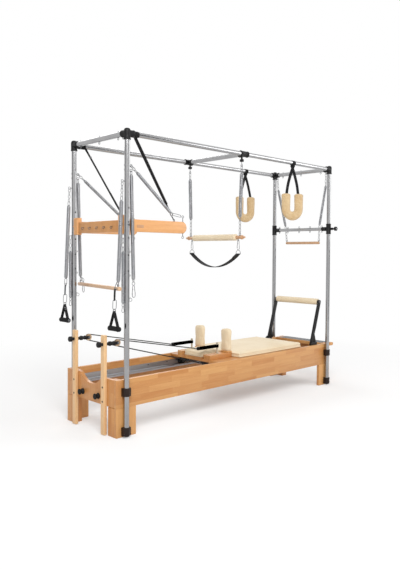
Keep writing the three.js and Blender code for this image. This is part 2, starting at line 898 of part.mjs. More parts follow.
// A cross rail with the corner fittings that the posts and top rails plug into, and its eyes
function crossRail(end) {
  const parts = [rod(vec(0, -yPost, 0), vec(0, yPost, 0), tubeRadius, tubeSides)];
  const sockets = [];
  const shoulder = domeShares.map(([out, down]) => [fittingRadius * out, fittingAbove - domeTall * down]);
  const profile = [
    [0, -fittingBelow],
    [fittingRadius, -fittingBelow],
    [fittingRadius, fittingAbove - domeTall],
    ...shoulder,
    [0, fittingAbove],
  ];
  sides.forEach(([, side]) => {
    const corner = vec(0, side * yPost, 0);
    const offset = (x, y, z) => corner.clone().add(vec(x, y, z));
    parts.push(turned(profile, corner, alongZ, rodSides));
    parts.push(rod(corner, offset(0, -side * fittingReach, 0), fittingRadius));
    parts.push(rod(corner, offset(-end * fittingReach, 0, 0), fittingRadius));
    const seatRadius = tubeRadius + touchGap;
    const postMouth = offset(0, 0, -fittingBelow - cutOver);
    sockets.push(rod(postMouth, offset(0, 0, touchGap - postTopDrop), seatRadius, tubeSides));
    const railMouth = offset(-end * (fittingReach + cutOver), 0, 0);
    sockets.push(rod(railMouth, offset(-end * (railSeat - touchGap), 0, 0), seatRadius, tubeSides));
  });
  const eyeYs = end < 0 ? headRailEyeYs : footRailEyeYs;
  const under = (y) => vec(0, y, lap - tubeRadius);
  eyeYs.forEach((y) => parts.push(ringAt(vec(0, y, -crossEyeDrop), alongX)));
  if (end > 0) {
    sides.forEach(([, side]) => {
      const y = side * rollEyeY;
      parts.push(eye(under(y), vec(0, y, -rollEyeDrop), alongY));
    });
  }
  const boreEnd = yPost - railSeat;
  const bore = rod(vec(0, -boreEnd, 0), vec(0, boreEnd, 0), tubeRadius - tubeWall, tubeSides);
  const ventY = fittingReach;
  const vent = rod(vec(0, ventY, 0), vec(0, ventY, -tubeOuter), ventRadius, thinSides);
  return cut(joined(parts), bore, vent, sockets);
}

function topRail() {
  const reach = xPost - railSeat;
  const tube = rod(vec(-reach, 0, 0), vec(reach, 0, 0), tubeRadius, tubeSides);
  const over = reach + cutOver;
  return cut(tube, rod(vec(-over, 0, 0), vec(over, 0, 0), tubeRadius - tubeWall, tubeSides));
}

// A bed side: a long board with a leg at each end, each leg thickened by a block on its inner face
function sidePanel(side) {
  const legEnd = bedHalf - legLong;
  const outline = polygon([
    [-bedHalf, 0], [-legEnd, 0], [-legEnd, boardBottom], [legEnd, boardBottom],
    [legEnd, 0], [bedHalf, 0], [bedHalf, bedHeight], [-bedHalf, bedHeight],
  ]);
  const parts = [slab(outline, 'xz', ...span(side * boardInner, side * bedSide))];
  ends.forEach(([, end]) => {
    const top = end < 0 ? bedHeight - legBlockTopDrop : platformTop - platformThick - touchGap;
    const blockEnd = end * (bedHalf - legBlockLong);
    const outer = side * (boardInner + lap);
    const inner = side * (boardInner - legBlockDeep);
    const behindBoard = end * (bedHalf - boardThick - touchGap);
    parts.push(block(end * bedHalf, blockEnd, outer, inner, 0, boardBottom));
    parts.push(block(behindBoard, blockEnd, outer, inner, boardBottom - lap, top));
  });
  return joined(parts);
}

// The head end board, scalloped along its top, with two rubber buffers on its outer face
function headEndBoard() {
  const half = boardInner - touchGap;
  const low = boardBottom + endBoardRise;
  const scallopRadius = (scallopHalf ** 2 + scallopDeep ** 2) / (2 * scallopDeep);
  const start = Math.atan2(scallopDeep - scallopRadius, scallopHalf);
  const outline = new THREE.Shape();
  outline.moveTo(-half, low);
  outline.lineTo(half, low);
  outline.lineTo(half, bedHeight);
  outline.absarc(0, bedHeight + scallopRadius - scallopDeep, scallopRadius, start, -Math.PI - start, true);
  outline.lineTo(-half, bedHeight);
  const [foot, neckStart, neckEnd, head] = bufferShares.map((share) => share * bufferLong);
  const profile = [
    [0, 0], [bufferRadius, 0], [bufferRadius, foot], [bufferWaistRadius, neckStart],
    [bufferWaistRadius, neckEnd], [bufferRadius, head], [bufferRadius, bufferLong], [0, bufferLong],
  ];
  const buffers = sides.map(([, side]) => (
    turned(profile, vec(lap - bedHalf, side * bufferY, bufferZ), alongX.clone().negate(), rodSides)
  ));
  return joined(slab(outline, 'yz', -bedHalf, boardThick - bedHalf), buffers);
}

function footEndBoard() {
  const half = boardInner - touchGap;
  const top = platformTop - platformThick - touchGap;
  return block(bedHalf - boardThick, bedHalf, -half, half, boardBottom + endBoardRise, top);
}

// The standing platform: a tongue between the bed sides and a round nose past their ends
function standingPlatform() {
  const low = platformTop - platformThick;
  const start = bedHalf + touchGap;
  const round = platformThick / 2;
  const outline = new THREE.Shape();
  outline.moveTo(start, low);
  outline.absarc(bedHalf + platformNose - round, low + round, round, -Math.PI / 2, Math.PI / 2);
  outline.lineTo(start, platformTop);
  const half = boardInner - touchGap;
  const tongue = block(bedHalf - platformTongue, start + lap, -half, half, low, platformTop);
  return joined(slab(outline, 'xz', -bedSide, bedSide), tongue);
}

function track(side) {
  const wall = boardInner - touchGap;
  const inner = wall - shelfWide;
  const outline = polygon([
    [side * wall, trackBottom], [side * wall, trackTop], [side * (wall - trackWall), trackTop],
    [side * (wall - trackWall), shelfTop], [side * inner, shelfTop], [side * inner, trackBottom],
  ]);
  return slab(outline, 'yz', -trackHalf, trackHalf);
}

const shelfReach = boardInner - 2 * touchGap - trackWall;

function springBar() {
  const low = shelfTop + touchGap;
  return block(springBarX, springBarX + springBarLong, -shelfReach, shelfReach, low, low + springBarTall);
}

// The carriage springs, closed, side by side between their two end plates
function carriageSprings() {
  const front = deckRear + touchGap;
  const rear = springBarX - touchGap;
  const half = carriageSpringPlateHalf;
  const low = carriageSpringZ - carriageSpringRadius;
  const high = carriageSpringZ + carriageSpringRadius;
  const coils = carriageSpringYs.map((y) => (
    rod(vec(front + lap, y, carriageSpringZ), vec(rear - lap, y, carriageSpringZ), carriageSpringRadius)
  ));
  return joined(
    block(front, front + carriageSpringPlate, -half, half, low, high),
    block(rear - carriageSpringPlate, rear, -half, half, low, high),
    coils,
  );
}

const bracketOuter = boardInner - wheelInset - wheelWide - wheelBracketGap;

// The carriage deck with its wheel brackets, rope cleats, spring hanger, shoulder blocks and rope pegs
function carriageDeck() {
  const parts = [block(deckFront, deckRear, -deckHalf, deckHalf, deckBottom, deckTop)];
  const under = deckBottom + lap;
  const holes = [];
  [frontWheelX, rearWheelX].forEach((x) => {
    sides.forEach(([, side]) => {
      const outer = side * bracketOuter;
      const inner = outer - side * wheelBracketThick;
      const low = deckBottom - wheelBracketDrop;
      parts.push(block(x - wheelBracketHalf, x + wheelBracketHalf, outer, inner, low, under));
    });
    const over = bracketOuter + cutOver;
    holes.push(rod(vec(x, -over, axleZ), vec(x, over, axleZ), boreRadius(axleRadius)));
  });
  sides.forEach(([, side]) => {
    const cleatStart = deckFront + cleatInset;
    const cleatInner = side * (cleatY - cleatHalfWide);
    const cleatOuter = side * (cleatY + cleatHalfWide);
    const cleatLow = deckBottom - cleatDrop;
    parts.push(block(cleatStart, cleatStart + cleatLong, cleatInner, cleatOuter, cleatLow, under));
    const inner = side * restBlockInner;
    parts.push(block(deckFront, restBlockRear, inner, side * restBlockOuter, deckTop - lap, restBlockTop));
    const pegFoot = vec(pegX, side * pegY, restBlockTop - pegSunk);
    parts.push(rod(pegFoot, vec(pegX, side * pegY, pegTop), pegRadius));
    const mouth = vec(shoulderX, side * shoulderY, restBlockTop + cutOver);
    const end = vec(shoulderX, side * shoulderY, restBlockTop - shoulderPinLong);
    holes.push(rod(mouth, end, shoulderPinRadius + runGap));
  });
  const half = springHangerHalf;
  const hangerLow = deckBottom - springHangerDrop;
  parts.push(block(deckRear - springHangerLong, deckRear, -half, half, hangerLow, under));
  return cut(joined(parts), holes);
}

function wheelSet() {
  const reach = boardInner - axleEndInset;
  const parts = [rod(vec(0, -reach, 0), vec(0, reach, 0), axleRadius)];
  const profile = [
    [0, 0], [wheelRadius - wheelChamfer, 0], [wheelRadius, wheelChamfer],
    [wheelRadius, wheelWide - wheelChamfer], [wheelRadius - wheelChamfer, wheelWide], [0, wheelWide],
  ];
  sides.forEach(([, side]) => {
    const inner = vec(0, side * (boardInner - wheelInset - wheelWide), 0);
    parts.push(turned(profile, inner, vec(0, side, 0)));
  });
  return joined(parts);
}

function headrest() {
  const long = headrestRear - headrestFront;
  const base = deckTop + touchGap;
  const boardHalf = headrestHalf - headrestRound / 2;
  return joined(
    block(-long, 0, -boardHalf, boardHalf, 0, headrestBoard),
    cushion({
      long,
      wide: 2 * headrestHalf,
      tall: headrestTop - base - headrestBoard + lap,
      corner: headrestCorner,
      crown: headrestCrown,
      round: headrestRound,
      drawIn: padDrawIn,
      at: vec(-long / 2, 0, headrestBoard - lap),
    }),
  );
}

function shoulderRest() {
  return joined(
    cushion({
      long: shoulderLong,
      wide: shoulderWide,
      tall: shoulderTop - restBlockTop - touchGap,
      corner: shoulderCorner,
      crown: shoulderCrown,
      round: shoulderRound,
      drawIn: shoulderDrawIn,
    }),
    rod(vec(0, 0, lap), vec(0, 0, runGap - shoulderPinLong), shoulderPinRadius),
  );
}

// A wooden riser for a rope pulley, on the outside of the head end
function riser() {
  const face = -touchGap;
  const board = block(face - riserThick, face, -riserWide / 2, riserWide / 2, riserBottom, riserTop);
  const bore = rod(
    vec(face - riserThick - cutOver, 0, pulleyZ),
    vec(face + cutOver, 0, pulleyZ),
    boreRadius(forkBoltRadius),
  );
  return cut(board, bore);
}

// The pulley fork: a bolt through the riser, its knob outside and the cheeks that hold the wheel inside
function pulleyFork() {
  const outside = -2 * touchGap - riserThick;
  const profile = [
    [0, 0], [knobNeckRadius, 0], [knobNeckRadius, knobNeckLong], [knobRadius, knobNeckLong + lap],
    [knobRadius, knobNeckLong + knobLong - lap], [knobRadius - lap, knobNeckLong + knobLong],
    [0, knobNeckLong + knobLong],
  ];
  const half = forkBodyHalfWide;
  const parts = [
    turned(profile, vec(outside, 0, 0), alongX.clone().negate(), rodSides),
    rod(vec(outside - knobNeckLong, 0, 0), vec(forkBodyHalfTall, 0, 0), forkBoltRadius),
    block(0, forkBodyLong, -half, half, -forkBodyHalfTall, forkBodyHalfTall),
  ];
  const cheekInner = pulleyHalf + slideGap;
  const cheekOuter = cheekInner + forkCheekThick;
  const cheekEnd = pulleyReach + forkCheekPast;
  sides.forEach(([, side]) => {
    const from = side * cheekInner;
    const to = side * cheekOuter;
    parts.push(block(forkBodyLong - lap, cheekEnd, from, to, -forkBodyHalfTall, forkBodyHalfTall));
  });
  const pinEnd = cheekInner + lap;
  parts.push(rod(vec(pulleyReach, -pinEnd, 0), vec(pulleyReach, pinEnd, 0), pulleyPinRadius));
  return joined(parts);
}

function pulleyWheel() {
  const bore = pulleyPinRadius + runGap;
  const profile = [
    [bore, -pulleyHalf], [pulleyRadius, -pulleyHalf], [pulleyRadius, -pulleyLipHalf],
    [pulleyGrooveRadius, -pulleyGrooveHalf], [pulleyGrooveRadius, pulleyGrooveHalf],
    [pulleyRadius, pulleyLipHalf], [pulleyRadius, pulleyHalf], [bore, pulleyHalf], [bore, -pulleyHalf],
  ];
  return turned(profile, vec(0, 0, 0), alongY);
}

// A carriage rope: from its webbing loop on the peg, over the pulley and back to the cleat under the deck
function rope(side) {
  const wheel = vec(pulleyReach - bedHalf, side * riserY, pulleyZ);
  const loopFar = pegX + loopStrapPast;
  const loopEnd = vec(loopFar - loopStrapLong + loopStrapThick / 2, side * pegY, loopStrapZ);
  const cleat = vec(deckFront + cleatInset - ropeEndGap, side * cleatY, ropeCleatZ);
  const tangent = (end, way) => {
    const out = Math.hypot(end.x - wheel.x, end.z - wheel.z);
    return Math.atan2(end.z - wheel.z, end.x - wheel.x) + way * Math.acos(ropeWrapRadius / out);
  };
  const start = tangent(loopEnd, 1);
  const finish = tangent(cleat, -1) + 2 * Math.PI;
  const points = [];
  const wrap = (turn) => wheel.clone().add(
    vec(ropeWrapRadius * Math.cos(turn), 0, ropeWrapRadius * Math.sin(turn)),
  );
  for (let i = 0; i < ropeRunSteps; i += 1) {
    points.push(loopEnd.clone().lerp(wrap(start), i / ropeRunSteps));
  }
  for (let i = 0; i <= ropeWrapSteps; i += 1) {
    points.push(wrap(start + ((finish - start) * i) / ropeWrapSteps));
  }
  for (let i = 1; i <= ropeRunSteps; i += 1) {
    points.push(wrap(finish).lerp(cleat, i / ropeRunSteps));
  }
  const loopCentres = [
    [loopFar - loopStrapLong + loopStrapHalf, side * pegY],
    [loopFar - loopStrapHalf, side * pegY],
  ];
  const outline = capsule(...loopCentres, loopStrapHalf);
  outline.holes.push(capsule(...loopCentres, loopStrapHalf - loopStrapThick));
  const low = loopStrapZ - loopStrapTall / 2;
  return joined(bent(points, ropeRadius, ropeSides, alongY), slab(outline, 'xy', low, low + loopStrapTall));
}

const between = (from, to, share) => from.clone().lerp(to, share);
const stepFrom = (from, to, reach) => between(from, to, reach / from.distanceTo(to));

// The plates that carry the footbar, its axle and the tabs that hold it upright
function footbarBase() {
  const parts = [];
  const outer = boardInner - touchGap;
  sides.forEach(([, side]) => {
    const from = side * (outer - footbarPlateThick);
    const to = side * outer;
    parts.push(block(footbarPlateFront, footbarPlateRear, from, to, footbarPlateBottom, footbarPlateTop));
    const tabInner = side * (footbarArmOuter - footbarArmThick);
    const tabLow = footbarPlateTop - footbarTabThick;
    const tabOuter = from + side * lap;
    parts.push(block(footbarTabFront, footbarPlateRear, tabInner, tabOuter, tabLow, footbarPlateTop));
  });
  const reach = outer - lap;
  const end = (side) => vec(footbarPivotX, side * reach, footbarPivotZ);
  parts.push(rod(end(-1), end(1), footbarAxleRadius));
  return joined(parts);
}

// The footbar's two arms with their heels, joined by the rod inside the roller
function footbarFrame() {
  const inner = footbarArmOuter - footbarArmThick;
  const pivot = [footbarPivotX, footbarPivotZ];
  const heelFoot = (footbarTabFront + footbarPlateRear) / 2;
  const low = footbarPlateTop + touchGap;
  const heel = polygon([
    [footbarPivotX, footbarPivotZ + footbarHeelRise],
    [heelFoot - footbarHeelHalf, low],
    [heelFoot + footbarHeelHalf, low],
    [footbarPivotX + footbarHeelRise / 2, footbarPivotZ + 2 * footbarHeelRise],
  ]);
  const parts = [];
  sides.forEach(([, side]) => {
    const range = span(side * inner, side * footbarArmOuter);
    parts.push(slab(capsule(pivot, [footbarRollerX, footbarRollerZ], footbarArmHalfWide), 'xz', ...range));
    parts.push(slab(capsule(pivot, pivot.map((v) => v + lap), footbarHubRadius), 'xz', ...range));
    parts.push(slab(heel, 'xz', ...range));
  });
  const reach = inner + lap;
  const rodEnd = (side) => vec(footbarRollerX, side * reach, footbarRollerZ);
  parts.push(rod(rodEnd(-1), rodEnd(1), rollerRodRadius, tubeSides));
  const over = footbarArmOuter + cutOver;
  const bore = rod(
    vec(footbarPivotX, -over, footbarPivotZ),
    vec(footbarPivotX, over, footbarPivotZ),
    boreRadius(footbarAxleRadius),
  );
  return cut(joined(parts), bore);
}

function footbarRoller() {
  const bore = rollerRodRadius + runGap;
  const shoulder = rollerRadius - rollerCapRound;
  const profile = [
    [bore, -rollerHalf], [shoulder, -rollerHalf], [rollerRadius, rollerCapRound - rollerHalf],
    [rollerRadius, rollerHalf - rollerCapRound], [shoulder, rollerHalf], [bore, rollerHalf],
    [bore, -rollerHalf],
  ];
  return turned(profile, vec(0, 0, 0), alongY);
}

// The push-through bar: a cross board, its end blocks, two round-ended arms and their hooks and eyes
function pushBar() {
  const arm = new THREE.Shape();
  arm.moveTo(0, pushArmBottom);
  arm.absarc(pushArmReach - pushArmHalfTall, pushPivotZ, pushArmHalfTall, -Math.PI / 2, Math.PI / 2);
  arm.lineTo(0, pushArmTop);
  const boardReach = pushBlockInner + lap;
  const half = pushBoardHalf;
  const boardLow = pushPivotZ - pushBoardBelow;
  const boardHigh = pushPivotZ + pushBoardAbove;
  const parts = [block(-half, half, -boardReach, boardReach, boardLow, boardHigh)];
  const bores = [];
  sides.forEach(([, side]) => {
    const inner = side * pushBlockInner;
    const outer = side * pushBlockOuter;
    const blockLow = pushPivotZ - pushBlockBelow;
    const blockHigh = pushPivotZ + pushBlockAbove;
    parts.push(block(-pushBlockHalf, pushBlockHalf, inner, outer, blockLow, blockHigh));
    parts.push(slab(arm, 'xz', ...span(side * pushArmInner, side * pushArmOuter)));
    const boltY = side * (pushArmInner + pushArmOuter) / 2;
    const bolt = (z) => vec(pushBoltReach, boltY, z);
    parts.push(eye(bolt(pushPivotZ), bolt(pushBoltTop), alongY));
    parts.push(eye(bolt(pushPivotZ), bolt(pushPivotZ - pushBoltBelow), alongY));
    const strapEye = (z) => vec(pushStrapEyeReach, side * pushStrapEndY, z);
    const ring = strapEye(pushArmTop + pushStrapEyeStem + pushStrapEyeRadius);
    parts.push(eye(strapEye(pushArmTop - lap), ring, alongY, pushStrapEyeRadius));
    const boreEnd = side * (pushBlockOuter + cutOver);
    const boreStart = side * (yPost - pushPinReach - slideGap);
    bores.push(rod(vec(0, boreStart, pushPivotZ), vec(0, boreEnd, pushPivotZ), boreRadius(pushPinRadius)));
  });
  for (let i = 0; i < pushHookCount; i += 1) {
    const y = (i - (pushHookCount - 1) / 2) * pushHookPitch;
    const z = pushPivotZ - pushHookDrop;
    parts.push(eye(vec(lap - half, y, z), vec(-half - pushHookReach, y, z), alongY, pushHookRadius));
  }
  const slotFace = -pushArmOuter - cutOver;
  const slotFloor = pushSlotDeep - pushArmOuter;
  const slotLow = pushPivotZ - pushSlotBelow;
  const slotHigh = pushPivotZ + pushSlotAbove;
  const slot = block(pushSlotFront, pushSlotRear, slotFace, slotFloor, slotLow, slotHigh);
  return cut(joined(parts), bores, slot);
}

// A push-through bar spring, from the post's eye to the eye on top of the arm
function pushSpring(side) {
  const postEye = vec(pushEyeReach, side * yPost, pushEyeZ);
  const end = vec(pushSpringEndReach, side * pushSpringEndY, pushSpringEndZ);
  const armY = side * (pushArmInner + pushArmOuter) / 2;
  const armEye = vec(pushBoltReach, armY, pushBoltTop);
  const flatRadius = eyeRadius * eyeFootShare;
  const top = pulledFrom(postEye, end.clone().sub(postEye).normalize(), flatRadius);
  const hook = pulledFrom(armEye, end.clone().sub(armEye).normalize(), flatRadius);
  const start = stepFrom(top, end, pushSpringLead);
  const ringEnd = stepFrom(end, hook, 2 * pushRingHalf);
  return joined(
    chain(top, start, 1, alongX),
    spring(start, end, pushSpringRadius),
    chain(end, ringEnd, 1, alongY, pushRingHalf),
    chain(ringEnd, hook, 1, alongX, pushEndLinkHalfWide),
  );
}

// A ring of webbing round a top rail
function choke(thick, wide) {
  const inner = tubeRadius + touchGap + slideGap;
  const outer = inner + thick;
  const profile = [
    [inner, -wide / 2], [outer, -wide / 2], [outer, wide / 2], [inner, wide / 2], [inner, -wide / 2],
  ];
  return turned(profile, vec(0, 0, 0), alongX);
}

// A safety strap, looped round the top rail and linked to the push-through bar's arm
function pushStrap(side) {
  const chokeMiddle = tubeRadius + touchGap + slideGap + pushStrapThick / 2;
  const top = vec(0, -side * chokeMiddle, 0);
  const rail = vec(pushStrapX, side * yPost, canopyHeight);
  const ringZ = pushArmTop + pushStrapEyeStem + pushStrapEyeRadius;
  const ring = vec(pushStrapEyeReach - xPost, side * pushStrapEndY, ringZ).sub(rail);
  const end = pulledFrom(ring, top.clone().sub(ring).normalize(), pushStrapEyeRadius * eyeFootShare);
  const strapEnd = between(top, end, pushStrapShare);
  const tailStart = stepFrom(strapEnd, end, pushStrapLinkLong);
  const tailEnd = stepFrom(tailStart, end, pushStrapTailLong);
  const half = pushStrapWide / 2;
  const linkAt = strapEnd.clone().add(tailStart).divideScalar(2);
  const slope = end.clone().sub(top).normalize();
  return joined(
    choke(pushStrapThick, pushStrapWide),
    strap(top, strapEnd, half, pushStrapThick, alongX),
    wireLoop(linkAt, alongY, slope, pushStrapLinkHalf, pushStrapLinkLong / 2),
    strap(tailStart, tailEnd, pushStrapTailHalf, pushStrapThick, alongX),
    chain(tailEnd, end, 1, alongX, pushStrapLinkHalf),
  );
}

// The line of an arm spring, which hangs a little towards the head end of its post
const armHang = hangFrom(vec(-armEyeReach, 0, armEyeZ));
const armLine = (z) => vec(armHang.x - armLeanShare * (armHang.z - z), 0, z);

// The line of a side spring, which hangs a little towards the foot end of its post
const sideHang = hangFrom(vec(sideEyeReach, 0, sideEyeZ));
const sideLine = (z) => vec(sideHang.x + sideLeanShare * (sideHang.z - z), 0, z);

const dowelEyeZ = dowelZ + dowelRadius + dowelEyeStem + dowelEyeRadius;
const dowelHookZ = dowelEyeZ + dowelEyeRadius - eyeWire - linkWire - hookGap;
const asideOfDowel = dowelRadius + dowelClear;

// An arm spring with its strap and link, and at the near side the hook that the dowel hangs from
function armSpring(side) {
  const bottom = armLine(armSpringBottom);
  const shift = side < 0 ? vec(-asideOfDowel, 0, 0) : vec(0, 0, 0);
  const onStrap = (z) => armLine(z).add(shift);
  const strapTop = onStrap(armStrapTop);
  const linkTop = onStrap(armStrapBottom);
  const strapStart = onStrap(armStrapTop + hookedIn);
  const strapEnd = onStrap(armStrapBottom - hookedIn);
  const parts = [
    chain(armHang, armLine(armSpringTop), 1, alongX),
    spring(armLine(armSpringTop), bottom, armSpringRadius),
    chain(bottom.clone().addScaledVector(shift, asideShare), strapTop, 1, alongX, armStrapHalfWide),
    strap(strapStart, strapEnd, armStrapHalfWide, armStrapThick, alongY),
    chain(linkTop, onStrap(armLinkBottom), 1, alongX, armLinkHalfWide),
  ];
  if (side < 0) {
    parts.push(chain(bottom, armLine(dowelHookZ), 1, alongX, dowelLinkHalfWide));
  }
  return joined(parts);
}

// A webbing handle: a ring, two straps spread in a V and the grip between them
function armHandle() {
  const ringZ = linkWire + handleRingWire + hookGap - handleRingRadius;
  const ringBottom = vec(0, 0, ringZ - handleRingRadius);
  const grip = gripZ - armLinkBottom;
  const half = gripLong / 2;
  const parts = [
    wireLoop(vec(0, 0, ringZ), alongY, alongZ, handleRingRadius, handleRingRadius, handleRingWire),
    rod(vec(0, -half, grip), vec(0, half, grip), gripRadius, tubeSides),
  ];
  sides.forEach(([, side]) => {
    const end = vec(0, side * (half - gripStrapInset), grip);
    parts.push(strap(ringBottom, end, gripStrapHalfWide, gripStrapThick, alongX));
  });
  return joined(parts);
}

// A side spring with the ring and snap hook that hang from it
function sideSpring(side) {
  const bottom = sideLine(sideSpringBottom);
  const shift = side > 0 ? vec(asideOfDowel, 0, 0) : vec(0, 0, 0);
  const ringEnd = sideLine(sideRingBottom).add(shift);
  const hookEnd = sideLine(carabinerBottom).add(shift);
  const parts = [
    chain(sideHang, sideLine(sideSpringTop), 1, alongX),
    spring(sideLine(sideSpringTop), bottom, sideSpringRadius),
    chain(bottom.clone().addScaledVector(shift, asideShare), ringEnd, 1, alongX, sideRingHalfWide),
    chain(ringEnd, hookEnd, 1, side > 0 ? alongX : alongY, carabinerHalfWide),
  ];
  if (side > 0) {
    parts.push(chain(bottom, sideLine(dowelHookZ), 1, alongX, dowelLinkHalfWide));
  }
  return joined(parts);
}

function innerSpring() {
  const x = -innerEyeReach;
  const hang = hangFrom(vec(x, 0, innerEyeZ), innerEyeRadius);
  const top = vec(x, 0, innerSpringTop);
  const bottom = vec(x, 0, innerSpringBottom);
  return joined(
    chain(hang, top, 1, alongY, innerLinkHalfWide),
    spring(top, bottom, innerSpringRadius, shortSpringCurls),
    chain(bottom, vec(x, 0, innerHookBottom), 1, alongY, innerLinkHalfWide),
  );
}

// The dowel, slung under the near arm spring and the far side spring
function dowelBar() {
  const near = armLine(dowelHookZ).add(vec(-xPost, -yPost, dowelZ - dowelHookZ));
  const far = sideLine(dowelHookZ).add(vec(-xPost, yPost, dowelZ - dowelHookZ));
  const past = (from, to) => between(from, to, 1 + dowelPast / from.distanceTo(to));
  const eyes = [near, far].map((at) => {
    const root = at.clone().addScaledVector(alongZ, dowelRadius - lap);
    return eye(root, at.clone().addScaledVector(alongZ, dowelEyeZ - dowelZ), alongY, dowelEyeRadius);
  });
  return joined(rod(past(far, near), past(near, far), dowelRadius, tubeSides), eyes);
}

// The middle crossbar: two sleeves that slide on the top rails, the tube between them, knobs and eyes
function middleCrossbar() {
  const sleeveInner = yPost - sliderHalfWide;
  const tubeEnd = sleeveInner + lap;
  const parts = [rod(vec(0, -tubeEnd, canopyHeight), vec(0, tubeEnd, canopyHeight), tubeRadius, tubeSides)];
  const half = sliderLong / 2;
  const low = canopyHeight - sliderHalfTall;
  const knobTop = sliderKnobZ + sliderKnobTall / 2;
  const knobLow = sliderKnobZ - sliderKnobTall / 2;
  const shoulder = sliderKnobRadius - sliderKnobChamfer;
  const profile = [
    [0, knobLow], [shoulder, knobLow], [sliderKnobRadius, knobLow + sliderKnobChamfer],
    [sliderKnobRadius, knobTop - sliderKnobChamfer], [shoulder, knobTop], [0, knobTop],
  ];
  const bores = [];
  sides.forEach(([, side]) => {
    const at = (z) => vec(0, side * sliderKnobY, z);
    const outer = side * (yPost + sliderHalfWide);
    parts.push(block(-half, half, side * sleeveInner, outer, low, canopyHeight + sliderHalfTall));
    parts.push(turned(profile, at(0), alongZ, rodSides));
    parts.push(rod(at(knobTop - lap), at(low + lap), sliderNeckRadius));
    parts.push(eye(at(knobLow + lap), at(sliderEyeZ), alongY, sliderEyeRadius));
    const over = half + cutOver;
    const end = (x) => vec(x, side * yPost, canopyHeight);
    bores.push(rod(end(-over), end(over), tubeRadius + slideGap, tubeSides));
  });
  const hollowEnd = sleeveInner - cutOver;
  const bore = rod(
    vec(0, -hollowEnd, canopyHeight),
    vec(0, hollowEnd, canopyHeight),
    tubeRadius - tubeWall,
    tubeSides,
  );
  const ventTop = vec(0, fittingReach, canopyHeight);
  const ventEnd = vec(0, fittingReach, canopyHeight - tubeOuter);
  const vent = rod(ventTop, ventEnd, ventRadius, thinSides);
  return cut(joined(parts), bores, bore, vent);
}

const trapezeHang = hangFrom(vec(0, 0, sliderEyeZ), sliderEyeRadius);

// The trapeze bar with its springs and chains; the reference point is on the line that it swings about
function trapezeBar() {
  const down = (y, z) => vec(0, y, z - trapezeHang.z);
  const half = trapezeBarHalf;
  const bar = trapezeBarZ;
  const tip = half + trapezeTipLong;
  const parts = [
    rod(down(-half, bar), down(half, bar), trapezeBarRadius, tubeSides),
    rod(down(-tip, bar), down(tip, bar), trapezeTipRadius),
  ];
  sides.forEach(([, side]) => {
    const hang = down(side * sliderKnobY, trapezeHang.z);
    const top = down(side * sliderKnobY, trapezeSpringTop);
    const bottom = down(side * trapezeSpringBarY, trapezeSpringBottom);
    const collarEnd = side * (half - trapezeCollarInset);
    const collarStart = collarEnd - side * trapezeCollarLong;
    parts.push(chain(hang, top, 1, alongX));
    parts.push(spring(top, bottom, trapezeSpringRadius, shortSpringCurls));
    const chainEnd = down(side * trapezeSpringBarY, bar + trapezeBarRadius - lap);
    parts.push(chain(bottom, chainEnd, 1, alongX));
    parts.push(rod(down(collarStart, bar), down(collarEnd, bar), trapezeCollarRadius));
    const eyeZ = bar - trapezeBarRadius - slingEyeStem - slingEyeRadius;
    const root = down(side * slingEyeY, bar - trapezeBarRadius + lap);
    parts.push(eye(root, down(side * slingEyeY, eyeZ), alongY, slingEyeRadius));
  });
  return joined(parts);
}

function trapezePad() {
  const bore = trapezeBarRadius + touchGap;
  const half = trapezePadHalf;
  const shoulder = trapezePadRadius - trapezePadRound;
  const profile = [
    [bore, -half], [shoulder, -half], [trapezePadRadius, trapezePadRound - half],
    [trapezePadRadius, half - trapezePadRound], [shoulder, half], [bore, half], [bore, -half],
  ];
  return turned(profile, vec(0, 0, 0), alongY);
}

const slingEyeZ = trapezeBarZ - trapezeBarRadius - slingEyeStem - slingEyeRadius;
const slingHang = hangFrom(vec(0, 0, slingEyeZ), slingEyeRadius);

// The sling under the trapeze bar: a band hung from a hook and a ring at each end
function trapezeSling() {
  const down = (y, z) => vec(0, y, z - slingHang.z);
  const points = [];
  for (let i = 0; i <= slingSteps; i += 1) {
    const share = (2 * i) / slingSteps - 1;
    points.push(down(slingEyeY * share, slingLow + (slingRingBottom - slingLow) * share ** 2));
  }
  const corner = Math.SQRT2;
  const parts = [sweep(points, slingThick / corner, slingHalfWide * corner, bandSides, alongZ)];
  sides.forEach(([, side]) => {
    const at = (z) => down(side * slingEyeY, z);
    parts.push(chain(at(slingHang.z), at(slingHookBottom), 1, alongX, slingHookHalfWide));
    parts.push(chain(at(slingHookBottom), at(slingRingBottom), 1, alongY, slingRingHalfWide));
  });
  return joined(parts);
}

const turnedTo = ({ turn }) => vec(1, 0, 0).applyAxisAngle(alongZ, THREE.MathUtils.degToRad(turn));

// The straps of a padded loop, from round the top rail to the two ends of its pad
function loopStrap(place) {
  const across = turnedTo(place);
  const low = touchGap - place.drop;
  const chokeMiddle = tubeRadius + touchGap + slideGap + chokeThick / 2;
  const legs = [-1, 1].map((way) => {
    const from = vec(way * hangStrapSpread, 0, -chokeMiddle);
    const to = across.clone().multiplyScalar(way * padLegOffset).setZ(low);
    return strap(from, between(from, to, pastPadShare), hangStrapHalfWide, hangStrapThick, across);
  });
  const reach = 2 * padLegOffset;
  const below = block(-reach, reach, -reach, reach, 2 * low, low);
  return cut(joined(choke(chokeThick, chokeWide), legs), below);
}

